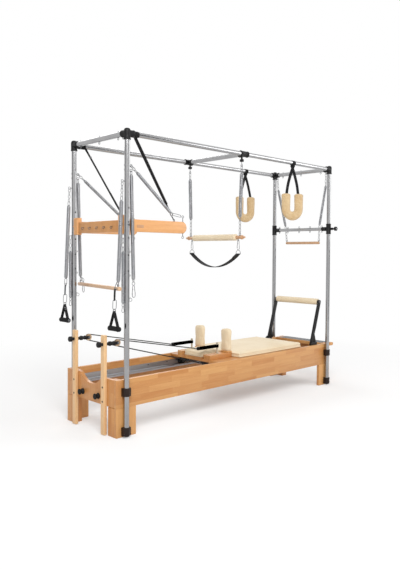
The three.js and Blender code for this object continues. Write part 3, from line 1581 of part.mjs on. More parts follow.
// The plush pad of a loop: an oval roll bent into a U
function loopPad(place) {
  const across = turnedTo(place);
  const top = -place.drop;
  const arcZ = top - place.tall + padLegOffset + padLobeHalf;
  const at = (out, z) => across.clone().multiplyScalar(out).setZ(z);
  const points = [at(-padLegOffset, top)];
  for (let i = 0; i <= padArcSteps; i += 1) {
    const turn = Math.PI * (1 + i / padArcSteps);
    points.push(at(padLegOffset * Math.cos(turn), arcZ + padLegOffset * Math.sin(turn)));
  }
  points.push(at(padLegOffset, top));
  const normal = vec().crossVectors(across, alongZ);
  return sweep(points, padLobeThick, padLobeHalf, padSides, normal);
}

// The crossbar at the foot end, with a collar that slides on each post and its row of eyes
function footCrossbar() {
  const parts = [];
  const bores = [];
  const end = yPost - lap;
  parts.push(rod(vec(0, -end, 0), vec(0, end, 0), footBarTubeRadius, tubeSides));
  sides.forEach(([, side]) => {
    const at = (y, z) => vec(0, side * y, z);
    const half = collarTall / 2;
    parts.push(rod(at(yPost, -half), at(yPost, half), collarRadius, tubeSides));
    parts.push(rod(at(yPost, 0), at(yPost - collarSocketReach, 0), collarSocketRadius));
    const over = half + cutOver;
    bores.push(rod(at(yPost, -over), at(yPost, over), tubeRadius + slideGap, tubeSides));
  });
  const bossEnd = -yPost - collarRadius - knobBossLong;
  parts.push(rod(vec(0, lap - yPost - collarRadius, 0), vec(0, bossEnd, 0), knobBossRadius));
  footBarEyeYs.forEach((y) => [-1, 1].forEach((way) => {
    parts.push(ringAt(vec(0, y, way * (footBarTubeRadius - lap + eyeRadius)), alongX));
  }));
  const hollowEnd = yPost - collarSocketReach;
  const hollowRadius = footBarTubeRadius - footBarTubeWall;
  bores.push(rod(vec(0, -hollowEnd, 0), vec(0, hollowEnd, 0), hollowRadius, tubeSides));
  const screwBore = collarScrewRadius + runGap;
  bores.push(rod(vec(0, -yPost - collarRadius, 0), vec(0, bossEnd - cutOver, 0), screwBore));
  bores.push(rod(vec(0, fittingReach, 0), vec(tubeOuter, fittingReach, 0), ventRadius, thinSides));
  return cut(joined(parts), bores);
}

// The knob that locks the foot crossbar's near collar
function collarKnob() {
  const outer = -collarKnobReach;
  const inner = outer + collarKnobTall;
  const face = -collarRadius - knobBossLong - touchGap;
  const shoulder = collarKnobRadius - collarKnobChamfer;
  const profile = [
    [0, outer], [shoulder, outer], [collarKnobRadius, outer + collarKnobChamfer],
    [collarKnobRadius, inner - collarKnobChamfer], [shoulder, inner], [0, inner],
  ];
  return joined(
    turned(profile, vec(0, 0, 0), alongY, rodSides),
    rod(vec(0, inner - lap, 0), vec(0, face, 0), collarNeckRadius),
    rod(vec(0, face - lap, 0), vec(0, -collarRadius - slideGap, 0), collarScrewRadius),
  );
}

const rollHang = hangFrom(vec(0, 0, canopyHeight - rollEyeDrop));

// The roll-down bar with its two springs; the reference point is on the line that it swings about
function rollDownSet() {
  const drop = rollHang.z - rollBarZ;
  const place = (y, z) => vec((rollBarLean * (rollHang.z - z)) / drop, y, z - rollHang.z);
  const parts = [rod(place(-rollBarHalf, rollBarZ), place(rollBarHalf, rollBarZ), rollBarRadius)];
  sides.forEach(([, side]) => {
    const hang = place(side * rollEyeY, rollHang.z);
    const top = place(side * rollSpringTopY, rollSpringTop);
    const bottom = place(side * rollSpringBottomY, rollSpringBottom);
    const hook = place(side * rollHookY, rollBarZ + rollBarRadius - lap);
    parts.push(chain(hang, top, 1, alongX));
    parts.push(spring(top, bottom, rollSpringRadius, shortSpringCurls));
    parts.push(chain(bottom, hook, 1, alongX));
  });
  return joined(parts);
}

piece('end_board_head', headEndBoard(), 'beech');
piece('end_board_foot', footEndBoard(), 'beech');
piece('standing_platform', standingPlatform(), 'beech');
piece('spring_bar', springBar(), 'aluminium');
piece('carriage_springs', carriageSprings(), 'steel');
piece('carriage_deck', carriageDeck(), 'beech');
piece('carriage_pad', cushion({
  long: padRear - padFront,
  wide: 2 * padHalf,
  tall: padThick,
  corner: padCorner,
  crown: padCrown,
  round: padRound,
  drawIn: padDrawIn,
}), 'creamLeather', vec((padFront + padRear) / 2, 0, deckTop + touchGap));
piece('headrest', headrest(), 'creamLeather', vec(headrestRear, 0, deckTop + touchGap));
piece('wheel_set_front', wheelSet(), 'blackPlastic', vec(frontWheelX, 0, axleZ));
piece('wheel_set_rear', wheelSet(), 'blackPlastic', vec(rearWheelX, 0, axleZ));
piece('footbar_base', footbarBase(), 'darkPaint');
piece('footbar_frame', footbarFrame(), 'darkPaint');
piece('footbar_roller', footbarRoller(), 'creamLeather', vec(footbarRollerX, 0, footbarRollerZ));
piece('push_bar', pushBar(), 'beech', vec(-xPost, 0, 0));
piece('dowel_bar', dowelBar(), 'beech');
piece('mid_crossbar', middleCrossbar(), 'steel', vec(midBarX, 0, 0));
piece('trapeze_bar', trapezeBar(), 'beech', vec(midBarX, 0, trapezeHang.z));
piece('trapeze_pad', trapezePad(), 'plush', vec(midBarX, 0, trapezeBarZ));
piece('trapeze_sling', trapezeSling(), 'webbing', vec(midBarX, 0, slingHang.z));
piece('foot_crossbar', footCrossbar(), 'steel', vec(xPost, 0, footBarZ));
piece('collar_knob', collarKnob(), 'blackPlastic', vec(xPost, -yPost, footBarZ));
piece('roll_down_set', rollDownSet(), 'steel', vec(xPost, 0, rollHang.z));

ends.forEach(([endName, end]) => {
  sides.forEach(([sideName, side]) => {
    piece(`post_${endName}_${sideName}`, post(end, side), 'steel', vec(end * xPost, side * yPost, 0));
  });
  piece(`cross_rail_${endName}`, crossRail(end), 'steel', vec(end * xPost, 0, canopyHeight));
});

sides.forEach(([name, side]) => {
  const headPost = vec(-xPost, side * yPost, 0);
  const grip = armLine(armLinkBottom).x - (side < 0 ? asideOfDowel : 0);
  piece(`side_panel_${name}`, sidePanel(side), 'beech');
  piece(`track_${name}`, track(side), 'aluminium');
  piece(`top_rail_${name}`, topRail(), 'steel', vec(0, side * yPost, canopyHeight));
  piece(`riser_${name}`, riser(), 'beech', vec(-bedHalf, side * riserY, 0));
  piece(`pulley_fork_${name}`, pulleyFork(), 'blackPlastic', vec(-bedHalf, side * riserY, pulleyZ));
  const wheelAt = vec(pulleyReach - bedHalf, side * riserY, pulleyZ);
  piece(`pulley_wheel_${name}`, pulleyWheel(), 'blackPlastic', wheelAt);
  piece(`rope_${name}`, rope(side), 'blackRope');
  const restAt = vec(shoulderX, side * shoulderY, restBlockTop + touchGap);
  piece(`shoulder_rest_${name}`, shoulderRest(), 'creamLeather', restAt);
  piece(`push_spring_${name}`, pushSpring(side), 'steel', vec(-xPost, 0, 0));
  piece(`push_strap_${name}`, pushStrap(side), 'webbing', vec(pushStrapX, side * yPost, canopyHeight));
  piece(`arm_spring_${name}`, armSpring(side), 'steel', headPost);
  piece(`arm_handle_${name}`, armHandle(), 'webbing', headPost.clone().add(vec(grip, 0, armLinkBottom)));
  piece(`side_spring_${name}`, sideSpring(side), 'steel', headPost);
  piece(`inner_spring_${name}`, innerSpring(), 'steel', headPost);
});

loopPlaces.forEach((place) => {
  const at = vec(place.x, place.side * yPost, canopyHeight);
  piece(`loop_strap_${place.name}`, loopStrap(place), 'webbing', at);
  piece(`loop_pad_${place.name}`, loopPad(place), 'plush', at);
});

export default table;
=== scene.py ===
"""Pilates trapeze table: a beech reformer bed under a steel canopy hung with springs, straps and bars.

Places are in millimetres until a piece is finished. X runs from the head end to the foot end, Y from the
near side to the far side, and the floor is at Z 0.
"""
from math import acos, atan2, cos, hypot, pi, radians, sin, sqrt

import bmesh
import bpy
from mathutils import Matrix, Vector, noise
from mathutils.bvhtree import BVHTree


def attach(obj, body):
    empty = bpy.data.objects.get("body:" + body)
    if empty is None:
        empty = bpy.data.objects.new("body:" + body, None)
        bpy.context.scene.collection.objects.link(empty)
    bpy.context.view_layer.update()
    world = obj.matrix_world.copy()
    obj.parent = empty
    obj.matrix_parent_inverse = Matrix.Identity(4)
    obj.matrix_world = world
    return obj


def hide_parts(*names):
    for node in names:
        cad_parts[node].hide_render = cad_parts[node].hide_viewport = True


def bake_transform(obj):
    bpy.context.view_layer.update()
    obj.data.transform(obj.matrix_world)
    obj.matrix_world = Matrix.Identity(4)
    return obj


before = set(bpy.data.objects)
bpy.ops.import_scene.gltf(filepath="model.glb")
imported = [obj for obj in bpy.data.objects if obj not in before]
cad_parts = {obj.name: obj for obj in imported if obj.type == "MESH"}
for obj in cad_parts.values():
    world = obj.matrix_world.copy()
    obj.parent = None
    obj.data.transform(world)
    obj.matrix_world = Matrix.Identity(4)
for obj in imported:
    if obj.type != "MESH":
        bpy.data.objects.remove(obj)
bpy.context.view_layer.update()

scene = bpy.context.scene
MM = 0.001
SIDES = (("near", -1), ("far", 1))
ENDS = (("head", -1), ("foot", 1))
BOTH = (-1, 1)
X, Y, Z = Vector((1, 0, 0)), Vector((0, 1, 0)), Vector((0, 0, 1))


def at(x, y, z):
    return Vector((x, y, z))


# ---- Camera ----

def photo_camera():
    """The camera that took the photograph: slightly above the canopy's middle, off the near head corner."""
    yaw, pitch, roll = radians(45.294), radians(-1.567), radians(0.385)
    stand = at(-3646.7, -3639.1, 1286.2)
    wide, tall, focal, centre = 400, 570, 590.42, (212.42, 268.72)  # in pixels
    sensor = 36
    ahead = Vector((cos(pitch) * cos(yaw), cos(pitch) * sin(yaw), sin(pitch)))
    level = ahead.cross(Z).normalized()
    rise = level.cross(ahead)
    right = cos(roll) * level + sin(roll) * rise
    up = cos(roll) * rise - sin(roll) * level
    data = bpy.data.cameras.new("photo_camera")
    data.sensor_width = sensor
    data.lens = sensor * focal / tall
    data.shift_x = (wide / 2 - centre[0]) / tall
    data.shift_y = (centre[1] - tall / 2) / tall
    data.clip_start, data.clip_end = 0.1, 60
    camera = bpy.data.objects.new("photo_camera", data)
    turn = Matrix((right, up, -ahead)).transposed().to_4x4()
    camera.matrix_world = Matrix.Translation(stand * MM) @ turn
    scene.collection.objects.link(camera)
    scene.camera = camera


photo_camera()
scene.view_settings.view_transform = "Standard"


# ---- Nodes of the materials ----

def node(tree, kind, *inputs, **settings):
    """A shader node: unnamed inputs in order, its settings and named inputs by name."""
    made = tree.nodes.new("ShaderNode" + kind)
    named = {}
    for key, value in settings.items():
        if hasattr(made, key):
            setattr(made, key, value)
        else:
            named[key.replace("_", " ")] = value
    for socket, value in [*enumerate(inputs), *named.items()]:
        if isinstance(value, bpy.types.NodeSocket):
            tree.links.new(value, made.inputs[socket])
        elif value is not None:
            made.inputs[socket].default_value = value
    return made.outputs


def maths(tree, operation, first, second=0.0):
    return node(tree, "Math", first, second, operation=operation)[0]


def plus(tree, first, second):
    return maths(tree, "ADD", first, second)


def times(tree, first, second):
    return maths(tree, "MULTIPLY", first, second)


def spread(tree, value, low, high, new_low=0.0, new_high=1.0):
    """A value's range from low to high, mapped to a new range and held inside it."""
    return node(tree, "MapRange", value, low, high, new_low, new_high)[0]


def mixed(tree, share, first, second, blend="MIX"):
    made = tree.nodes.new("ShaderNodeMix")
    made.data_type = "RGBA"
    made.blend_type = blend
    for index, value in ((0, share), (6, first), (7, second)):
        if isinstance(value, bpy.types.NodeSocket):
            tree.links.new(value, made.inputs[index])
        else:
            made.inputs[index].default_value = value
    return made.outputs[2]


def noisy(tree, vector, scale, detail=3.0, roughness=0.5, distortion=0.0):
    return node(tree, "TexNoise", Vector=vector, Scale=scale, Detail=detail, Roughness=roughness,
            Distortion=distortion)["Fac"]


def stretched(tree, vector, scale, location=(0, 0, 0), rotation=(0, 0, 0)):
    return node(tree, "Mapping", Vector=vector, Scale=scale, Location=location, Rotation=rotation)[0]


def group_of(name, inputs):
    """An empty node group that turns a place into a finish, with its own named values, and its inputs."""
    tree = bpy.data.node_groups.new(name, "ShaderNodeTree")
    tree.interface.new_socket("Vector", in_out="INPUT", socket_type="NodeSocketVector")
    for label, kind, value in inputs:
        socket = tree.interface.new_socket(label, in_out="INPUT", socket_type="NodeSocket" + kind)
        socket.default_value = value
    for label, kind in (("Color", "Color"), ("Roughness", "Float"), ("Height", "Float")):
        tree.interface.new_socket(label, in_out="OUTPUT", socket_type="NodeSocket" + kind)
    return tree, tree.nodes.new("NodeGroupInput").outputs


def group_end(tree, color, roughness, height):
    """The group's three outputs: a finish's colour, roughness and height."""
    give = tree.nodes.new("NodeGroupOutput").inputs
    for socket, value in zip(give, (color, roughness, height)):
        tree.links.new(value, socket)
    return tree


def placed(tree, group, **inputs):
    """A group set into a material with its own values."""
    made = tree.nodes.new("ShaderNodeGroup")
    made.node_tree = group
    for key, value in inputs.items():
        socket = made.inputs[key.replace("_", " ")]
        if isinstance(value, bpy.types.NodeSocket):
            tree.links.new(value, socket)
        else:
            socket.default_value = value
    return made.outputs


def rgb(red, green, blue):
    """A colour given in screen values from 0 to 255, as the linear colour a shader takes."""
    def linear(value):
        share = value / 255
        return share / 12.92 if share <= 0.04045 else ((share + 0.055) / 1.055) ** 2.4
    return (linear(red), linear(green), linear(blue), 1.0)


def shader(name, slot, **values):
    """A material with one Principled shader whose plain values are set on its own sockets."""
    material = bpy.data.materials.new(name)
    material.use_nodes = True
    tree = material.node_tree
    surface = tree.nodes["Principled BSDF"]
    for key, value in values.items():
        surface.inputs[key.replace("_", " ")].default_value = value
    material["finish_slot"] = slot
    return material, tree, surface


def bumped(tree, surface, height, strength, distance):
    normal = node(tree, "Bump", Height=height, Strength=strength, Distance=distance)[0]
    tree.links.new(normal, surface.inputs["Normal"])


def strip_wood_group():
    """Finger-jointed strips: X is along the grain and Y across the strips, in metres."""
    tree, take = group_of("Strip wood", (("Pale", "Color", rgb(223, 171, 108)),
            ("Deep", "Color", rgb(192, 126, 66)), ("Strip length", "Float", 0.3),
            ("Strip height", "Float", 0.046), ("Figure", "Float", 1.0)))
    apart = node(tree, "SeparateXYZ", take["Vector"])
    row = maths(tree, "FLOOR", maths(tree, "DIVIDE", apart["Y"], take["Strip height"]))
    slide = node(tree, "TexWhiteNoise", W=row, noise_dimensions="1D")["Value"]
    zigzag = maths(tree, "PINGPONG", apart["Y"], 0.0035)
    shifted = plus(tree, apart["X"], times(tree, slide, take["Strip length"]))
    along = plus(tree, shifted, times(tree, zigzag, 2.2))
    bricks = node(tree, "TexBrick", offset=0.37, offset_frequency=2, Vector=node(tree, "CombineXYZ", along,
            apart["Y"], 0.0)[0], Color1=(0, 0, 0, 1), Color2=(1, 1, 1, 1), Mortar=(0.5, 0.5, 0.5, 1),
            Scale=1.0, Mortar_Size=0.00035, Mortar_Smooth=0.3, Brick_Width=take["Strip length"],
            Row_Height=take["Strip height"])
    tone = node(tree, "SeparateColor", bricks["Color"])[0]
    far_apart = times(tree, tone, 7.0)
    grain_at = node(tree, "CombineXYZ", apart["X"], plus(tree, apart["Y"], far_apart),
            plus(tree, apart["Z"], far_apart))[0]
    bands = noisy(tree, stretched(tree, grain_at, (3.0, 46.0, 46.0)), 1.0, 4.0, 0.55, 0.6)
    fibres = noisy(tree, stretched(tree, grain_at, (24.0, 900.0, 900.0)), 1.0, 3.0, 0.6)
    flecks = noisy(tree, stretched(tree, grain_at, (190.0, 1500.0, 1500.0)), 1.0, 1.0, 0.4)
    fleck_mask = spread(tree, flecks, 0.66, 0.74)
    warmth = noisy(tree, grain_at, 2.4, 2.0)
    share = plus(tree, times(tree, tone, 0.52), plus(tree, times(tree, spread(tree, bands, 0.3, 0.7), 0.3),
            times(tree, warmth, 0.22)))
    base = mixed(tree, share, take["Pale"], take["Deep"])
    fibred = mixed(tree, times(tree, spread(tree, fibres, 0.35, 0.75), 0.16), base,
            mixed(tree, 1.0, base, (0.55, 0.42, 0.32, 1), "MULTIPLY"))
    flecked = mixed(tree, times(tree, fleck_mask, times(tree, take["Figure"], 0.42)), fibred,
            mixed(tree, 1.0, base, (0.42, 0.28, 0.2, 1), "MULTIPLY"))
    joint = times(tree, bricks["Fac"], 0.32)
    jointed = mixed(tree, joint, flecked, mixed(tree, 1.0, base, (0.5, 0.36, 0.24, 1), "MULTIPLY"))
    rough = plus(tree, spread(tree, bands, 0.25, 0.75, 0.34, 0.46), times(tree, fleck_mask, 0.1))
    low = plus(tree, times(tree, fleck_mask, -0.5), times(tree, bricks["Fac"], -1.0))
    return group_end(tree, jointed, rough, plus(tree, low, times(tree, fibres, 0.35)))


def handled_group():
    """Smudges, fine scratches and dust that make one finish vary over a surface."""
    tree, take = group_of("Handled surface", (("Color", "Color", (0.5, 0.5, 0.5, 1)),
            ("Marked", "Color", (0.6, 0.6, 0.6, 1)), ("Low", "Float", 0.15), ("High", "Float", 0.3),
            ("Scale", "Float", 1.0)))
    sized = node(tree, "VectorMath", take["Vector"], None, None, take["Scale"], operation="SCALE")[0]
    cloud = noisy(tree, sized, 9.0, 4.0, 0.6, 0.3)
    speck = noisy(tree, sized, 420.0, 2.0, 0.6)
    scratch = noisy(tree, stretched(tree, sized, (40.0, 900.0, 60.0), rotation=(0.2, 0.4, 0.7)), 1.0, 2.0,
            0.7)
    lines = spread(tree, scratch, 0.62, 0.72)
    marks = times(tree, lines, spread(tree, cloud, 0.4, 0.7))
    both = plus(tree, times(tree, spread(tree, cloud, 0.3, 0.75), 0.55), times(tree, marks, 0.35))
    reach = maths(tree, "SUBTRACT", take["High"], take["Low"])
    level = plus(tree, spread(tree, cloud, 0.3, 0.75), times(tree, marks, 0.4))
    return group_end(tree, mixed(tree, both, take["Color"], take["Marked"]),
            plus(tree, take["Low"], times(tree, reach, level)), plus(tree, speck, times(tree, marks, -0.4)))


def woven_group():
    """A tight weave on a strap's own lengths: U across it and V along it, in metres."""
    tree, take = group_of("Woven strap", (("Color", "Color", rgb(7, 7, 8)),
            ("Raised", "Color", rgb(30, 30, 33)), ("Thread", "Float", 0.0016), ("Half width", "Float", 0.02)))
    apart = node(tree, "SeparateXYZ", take["Vector"])
    across = maths(tree, "DIVIDE", apart["X"], take["Thread"])
    along = maths(tree, "DIVIDE", apart["Y"], times(tree, take["Thread"], 1.6))
    step = times(tree, maths(tree, "MODULO", maths(tree, "FLOOR", across), 2.0), 0.5)
    bead = maths(tree, "ABSOLUTE", maths(tree, "SINE", times(tree, across, pi)))
    over = maths(tree, "ABSOLUTE", maths(tree, "SINE", times(tree, plus(tree, along, step), pi)))
    weave = times(tree, bead, over)
    edge = spread(tree, maths(tree, "SUBTRACT", take["Half width"], maths(tree, "ABSOLUTE", apart["X"])),
            0.0015, 0.0035)
    fuzz = noisy(tree, take["Vector"], 900.0, 2.0)
    worn = noisy(tree, take["Vector"], 14.0, 3.0)
    # The colour goes from the plain colour towards the lighter second colour on the weave's raised threads.
    # That is a painted highlight on their tops, with painted shade in the hollows between them. The fuzz and
    # the worn patches are the strap's own tone, and the last few millimetres on each side of the strap keep
    # the plain colour.
    tone = plus(tree, times(tree, weave, 0.5), times(tree, fuzz, 0.3))
    lit = times(tree, tone, spread(tree, worn, 0.3, 0.7, 0.6, 1.15))
    return group_end(tree, mixed(tree, times(tree, lit, edge), take["Color"], take["Raised"]),
            spread(tree, weave, 0.0, 1.0, 0.9, 0.62), plus(tree, weave, times(tree, fuzz, 0.25)))


def leather_group():
    """Soft grained leather: fine cells, broad creases and a slight change of tone."""
    tree, take = group_of("Leather grain", (("Color", "Color", rgb(240, 224, 194)),
            ("Shade and tone", "Color", rgb(216, 192, 154)), ("Cell", "Float", 520.0)))
    bent_at = node(tree, "VectorMath", take["Vector"], node(tree, "TexNoise", Vector=take["Vector"],
            Scale=60.0, Detail=2.0)["Color"], operation="MULTIPLY_ADD")
    cells = node(tree, "TexVoronoi", feature="DISTANCE_TO_EDGE", Vector=take["Vector"],
            Scale=take["Cell"])["Distance"]
    grain = spread(tree, cells, 0.0, 0.28)
    pores = spread(tree, noisy(tree, take["Vector"], 1700.0, 1.0), 0.62, 0.72)
    crease = noisy(tree, bent_at[0], 7.0, 5.0, 0.6, 0.8)
    soil = noisy(tree, take["Vector"], 3.2, 4.0, 0.55)
    # The colour goes darker towards the second colour in two kinds of place. The broad soil patches are the
    # leather's own tone. Along the grain's cell edges and in the pores it is a painted shade in those small
    # hollows.
    share = plus(tree, times(tree, spread(tree, soil, 0.35, 0.72), 0.42), times(tree,
            maths(tree, "SUBTRACT", 1.0, grain), 0.3))
    toned = plus(tree, share, times(tree, pores, 0.18))
    deep = plus(tree, times(tree, grain, 0.45), times(tree, crease, 0.8))
    return group_end(tree, mixed(tree, toned, take["Color"], take["Shade and tone"]),
            spread(tree, soil, 0.3, 0.75, 0.46, 0.62), plus(tree, deep, times(tree, pores, -0.3)))


def pile_group():
    """Short plush pile: curls of a few millimetres, brushed one way and another."""
    tree, take = group_of("Plush pile", (("Color", "Color", rgb(240, 219, 180)),
            ("Shade and tone", "Color", rgb(203, 168, 120)), ("Curl", "Float", 190.0)))
    swirl = node(tree, "TexNoise", Vector=take["Vector"], Scale=70.0, Detail=3.0)["Color"]
    moved = node(tree, "VectorMath", swirl, (0.012, 0.012, 0.012), take["Vector"],
            operation="MULTIPLY_ADD")[0]
    curls = node(tree, "TexVoronoi", feature="F1", Vector=moved, Scale=take["Curl"])["Distance"]
    tufts = spread(tree, curls, 0.0, 0.75, 1.0, 0.0)
    threads = noisy(tree, moved, 1500.0, 3.0, 0.7)
    brushed = noisy(tree, take["Vector"], 16.0, 3.0, 0.6)
    # Between the curls the colour is painted darker towards the second colour, a painted shade in the hollows
    # of the pile. The brushed patches and the threads are the pile's own tone.
    share = plus(tree, times(tree, maths(tree, "SUBTRACT", 1.0, tufts), 0.62),
            times(tree, spread(tree, brushed, 0.3, 0.7), 0.3))
    toned = plus(tree, share, times(tree, threads, 0.16))
    return group_end(tree, mixed(tree, toned, take["Color"], take["Shade and tone"]),
            spread(tree, threads, 0.2, 0.8, 0.86, 1.0), plus(tree, tufts, times(tree, threads, 0.4)))


STRIP_WOOD = strip_wood_group()
HANDLED = handled_group()
WOVEN = woven_group()
LEATHER = leather_group()
PILE = pile_group()


def joined_to(tree, surface, made, strength, distance):
    """A group's three outputs on a shader."""
    tree.links.new(made["Color"], surface.inputs["Base Color"])
    tree.links.new(made["Roughness"], surface.inputs["Roughness"])
    bumped(tree, surface, made["Height"], strength, distance)


def object_place(tree, **mapping):
    place = node(tree, "TexCoord")["Object"]
    return stretched(tree, place, (1, 1, 1), **mapping) if mapping else place


def wood(name, slot, rotation=(0, 0, 0), location=(0, 0, 0), **values):
    """Lacquered beech whose grain runs along a piece's own direction."""
    material, tree, surface = shader(name, slot, Specular_IOR_Level=0.45, Coat_Weight=0.22,
            Coat_Roughness=0.18)
    place = object_place(tree, rotation=rotation, location=location)
    joined_to(tree, surface, placed(tree, STRIP_WOOD, Vector=place, **values), 0.35, 0.0006)
    return material


def handled(name, slot, color, marked, low, high, scale=1.0, strength=0.12, distance=0.0002, **values):
    material, tree, surface = shader(name, slot, **values)
    made = placed(tree, HANDLED, Vector=object_place(tree), Color=color, Marked=marked, Low=low, High=high,
            Scale=scale)
    joined_to(tree, surface, made, strength, distance)
    return material


def webbing(name, slot, half_width, thread=0.0016, **values):
    material, tree, surface = shader(name, slot, Specular_IOR_Level=0.25, Sheen_Weight=0.04,
            Sheen_Roughness=0.5)
    made = placed(tree, WOVEN, Vector=node(tree, "UVMap", uv_map="UVMap")[0], Half_width=half_width,
            Thread=thread, **values)
    joined_to(tree, surface, made, 0.9, 0.0006)
    return material


def leather(name, slot, **values):
    material, tree, surface = shader(name, slot, Specular_IOR_Level=0.4, Sheen_Weight=0.08)
    joined_to(tree, surface, placed(tree, LEATHER, Vector=object_place(tree), **values), 0.35, 0.0012)
    return material


def pile(name, slot, **values):
    material, tree, surface = shader(name, slot, Specular_IOR_Level=0.2, Sheen_Weight=0.5,
            Sheen_Roughness=0.4)
    joined_to(tree, surface, placed(tree, PILE, Vector=object_place(tree), **values), 0.75, 0.003)
    return material


# The strips of an upright board stack in Z, those of a lying board lie side by side in Y, and a post's
# grain runs up it.
UPRIGHT = (radians(-90), 0, 0)
LEG = (0, radians(90), 0)
CROSSWISE = (0, 0, radians(-90))

beech_side = wood("beech_side", "beech", rotation=UPRIGHT)
beech_leg = wood("beech_leg", "beech", rotation=LEG, Strip_height=0.052, Strip_length=0.9, Figure=0.8)
beech_riser = wood("beech_riser", "beech", rotation=LEG, Strip_height=0.4, Strip_length=2.0, Figure=0.7,
        Pale=rgb(240, 202, 152), Deep=rgb(222, 172, 116))
beech_end = wood("beech_end", "beech", rotation=(radians(-90), 0, radians(-90)), Strip_height=0.05,
        Strip_length=0.26)
beech_lying = wood("beech_lying", "beech", Strip_height=0.048)
beech_across = wood("beech_across", "beech", rotation=CROSSWISE, Strip_height=0.045, Strip_length=0.42)
beech_arm = wood("beech_arm", "beech", rotation=UPRIGHT, Strip_height=0.4, Strip_length=2.6, Figure=1.2,
        Pale=rgb(236, 180, 122), Deep=rgb(206, 138, 80))
beech_round = wood("beech_round", "beech", rotation=CROSSWISE, Strip_height=0.4, Strip_length=3.0, Figure=1.1,
        Pale=rgb(222, 186, 148), Deep=rgb(196, 150, 112))
beech_tip = wood("beech_tip", "trapeze", rotation=CROSSWISE, Strip_height=0.4, Strip_length=3.0,
        Pale=rgb(214, 172, 132), Deep=rgb(184, 132, 94))
steel = handled("polished_steel", "steel", rgb(172, 172, 173), rgb(148, 148, 150), 0.13, 0.24, 1.0,
        Metallic=1.0)
bright_wire = handled("bright_wire", "spring_steel", rgb(138, 139, 142), rgb(108, 109, 112), 0.2, 0.34, 3.0,
        Metallic=1.0)
worn_wire = handled("coil_wire", "spring_steel", rgb(178, 179, 182), rgb(148, 149, 153), 0.24, 0.4, 3.0,
        Metallic=1.0)
aluminium = handled("satin_aluminium", "aluminium", rgb(178, 180, 183), rgb(150, 152, 156), 0.3, 0.46, 1.0,
        Metallic=0.9)
black_plastic = handled("black_plastic", "black_plastic", rgb(9, 9, 10), rgb(24, 24, 26), 0.42, 0.58, 2.0,
        strength=0.35, distance=0.0004, Specular_IOR_Level=0.3)
black_paint = handled("black_paint", "black_paint", rgb(9, 9, 10), rgb(26, 26, 28), 0.34, 0.5, 1.5,
        strength=0.3, distance=0.0003, Specular_IOR_Level=0.35)
brown_paint = handled("brown_paint", "steel", rgb(30, 17, 12), rgb(52, 34, 26), 0.4, 0.55, 2.0, strength=0.3,
        distance=0.0003, Specular_IOR_Level=0.3)
dark_rubber = handled("dark_rubber", "black_plastic", rgb(13, 13, 14), rgb(34, 34, 34), 0.6, 0.8, 2.0,
        strength=0.5, distance=0.0005, Specular_IOR_Level=0.3)
grip_foam = handled("grip_foam", "webbing", rgb(10, 10, 11), rgb(28, 28, 30), 0.7, 0.88, 4.0, strength=0.9,
        distance=0.0009, Specular_IOR_Level=0.25)
wheel_nylon = handled("wheel_nylon", "black_plastic", rgb(198, 170, 138), rgb(160, 128, 96), 0.34, 0.5, 3.0)
peg_nylon = handled("peg_nylon", "black_plastic", rgb(196, 186, 166), rgb(168, 156, 134), 0.4, 0.55, 3.0)
grey_grip = handled("grey_grip", "black_plastic", rgb(132, 134, 136), rgb(104, 106, 109), 0.74, 0.9, 3.0,
        strength=0.9, distance=0.0008)
cream_leather = leather("cream_leather", "cream_leather")
cover_leather = leather("cover_leather", "roller_cover", Color=rgb(242, 227, 198), Cell=700.0)
thread = handled("cream_thread", "cream_leather", rgb(236, 220, 190), rgb(206, 184, 146), 0.7, 0.85, 8.0)
plush = pile("plush", "plush")
strap_wide = webbing("webbing_wide", "webbing", 0.016)
strap_sling = webbing("webbing_sling", "webbing", 0.026, 0.0018)
strap_loop = webbing("webbing_loop", "webbing", 0.013)
strap_small = webbing("webbing_small", "webbing", 0.01, 0.0013)
# Grey webbing: its lighter second colour is the painted highlight on the weave's raised threads.
strap_grey = webbing("webbing_grey", "webbing", 0.009, 0.0013, Color=rgb(84, 86, 90),
        Raised=rgb(142, 144, 148))
black_thread = handled("black_thread", "webbing", rgb(50, 50, 53), rgb(84, 84, 88), 0.6, 0.8, 8.0)


# ---- Modelling helpers, in millimetres ----

def facing(start, direction):
    """The transform that stands a shape built up the Z axis at a start, along a direction."""
    return Matrix.Translation(start) @ direction.to_track_quat("Z", "Y").to_matrix().to_4x4()


def placed_in(bm, shape, matrix):
    """Moves a small mesh to its place and adds it to a piece's mesh."""
    bmesh.ops.transform(shape, matrix=matrix, verts=shape.verts)
    carried = bpy.data.meshes.new("shape")
    shape.to_mesh(carried)
    shape.free()
    bm.from_mesh(carried)
    bpy.data.meshes.remove(carried)


def rounded(bm, width, steps, angle=30):
    """Bevels a mesh's sharp edges."""
    edges = [edge for edge in bm.edges if len(edge.link_faces) == 2
            and edge.calc_face_angle(0) > radians(angle)]
    bmesh.ops.bevel(bm, geom=edges, offset=width, offset_type="OFFSET", segments=steps, profile=0.5,
            affect="EDGES", clamp_overlap=True, material=-1)


def block(bm, low, high, edge, steps):
    """A box between two corners with its edges eased."""
    shape = bmesh.new()
    bmesh.ops.create_cube(shape, size=1)
    bmesh.ops.scale(shape, vec=[abs(value) for value in high - low], verts=shape.verts)
    rounded(shape, edge, steps)
    placed_in(bm, shape, Matrix.Translation((low + high) / 2))


def turned(bm, profile, start, direction, count=40):
    """A profile of (radius, height) points turned about the axis that leaves start along direction."""
    shape = bmesh.new()
    verts = [shape.verts.new((radius, 0, height)) for radius, height in profile]
    edges = [shape.edges.new(pair) for pair in zip(verts, verts[1:])]
    bmesh.ops.spin(shape, geom=verts + edges, cent=(0, 0, 0), axis=(0, 0, 1), dvec=(0, 0, 0), angle=2 * pi,
            steps=count, use_merge=True, use_duplicate=False)
    bmesh.ops.remove_doubles(shape, verts=shape.verts, dist=0.002)
    placed_in(bm, shape, facing(start, direction))


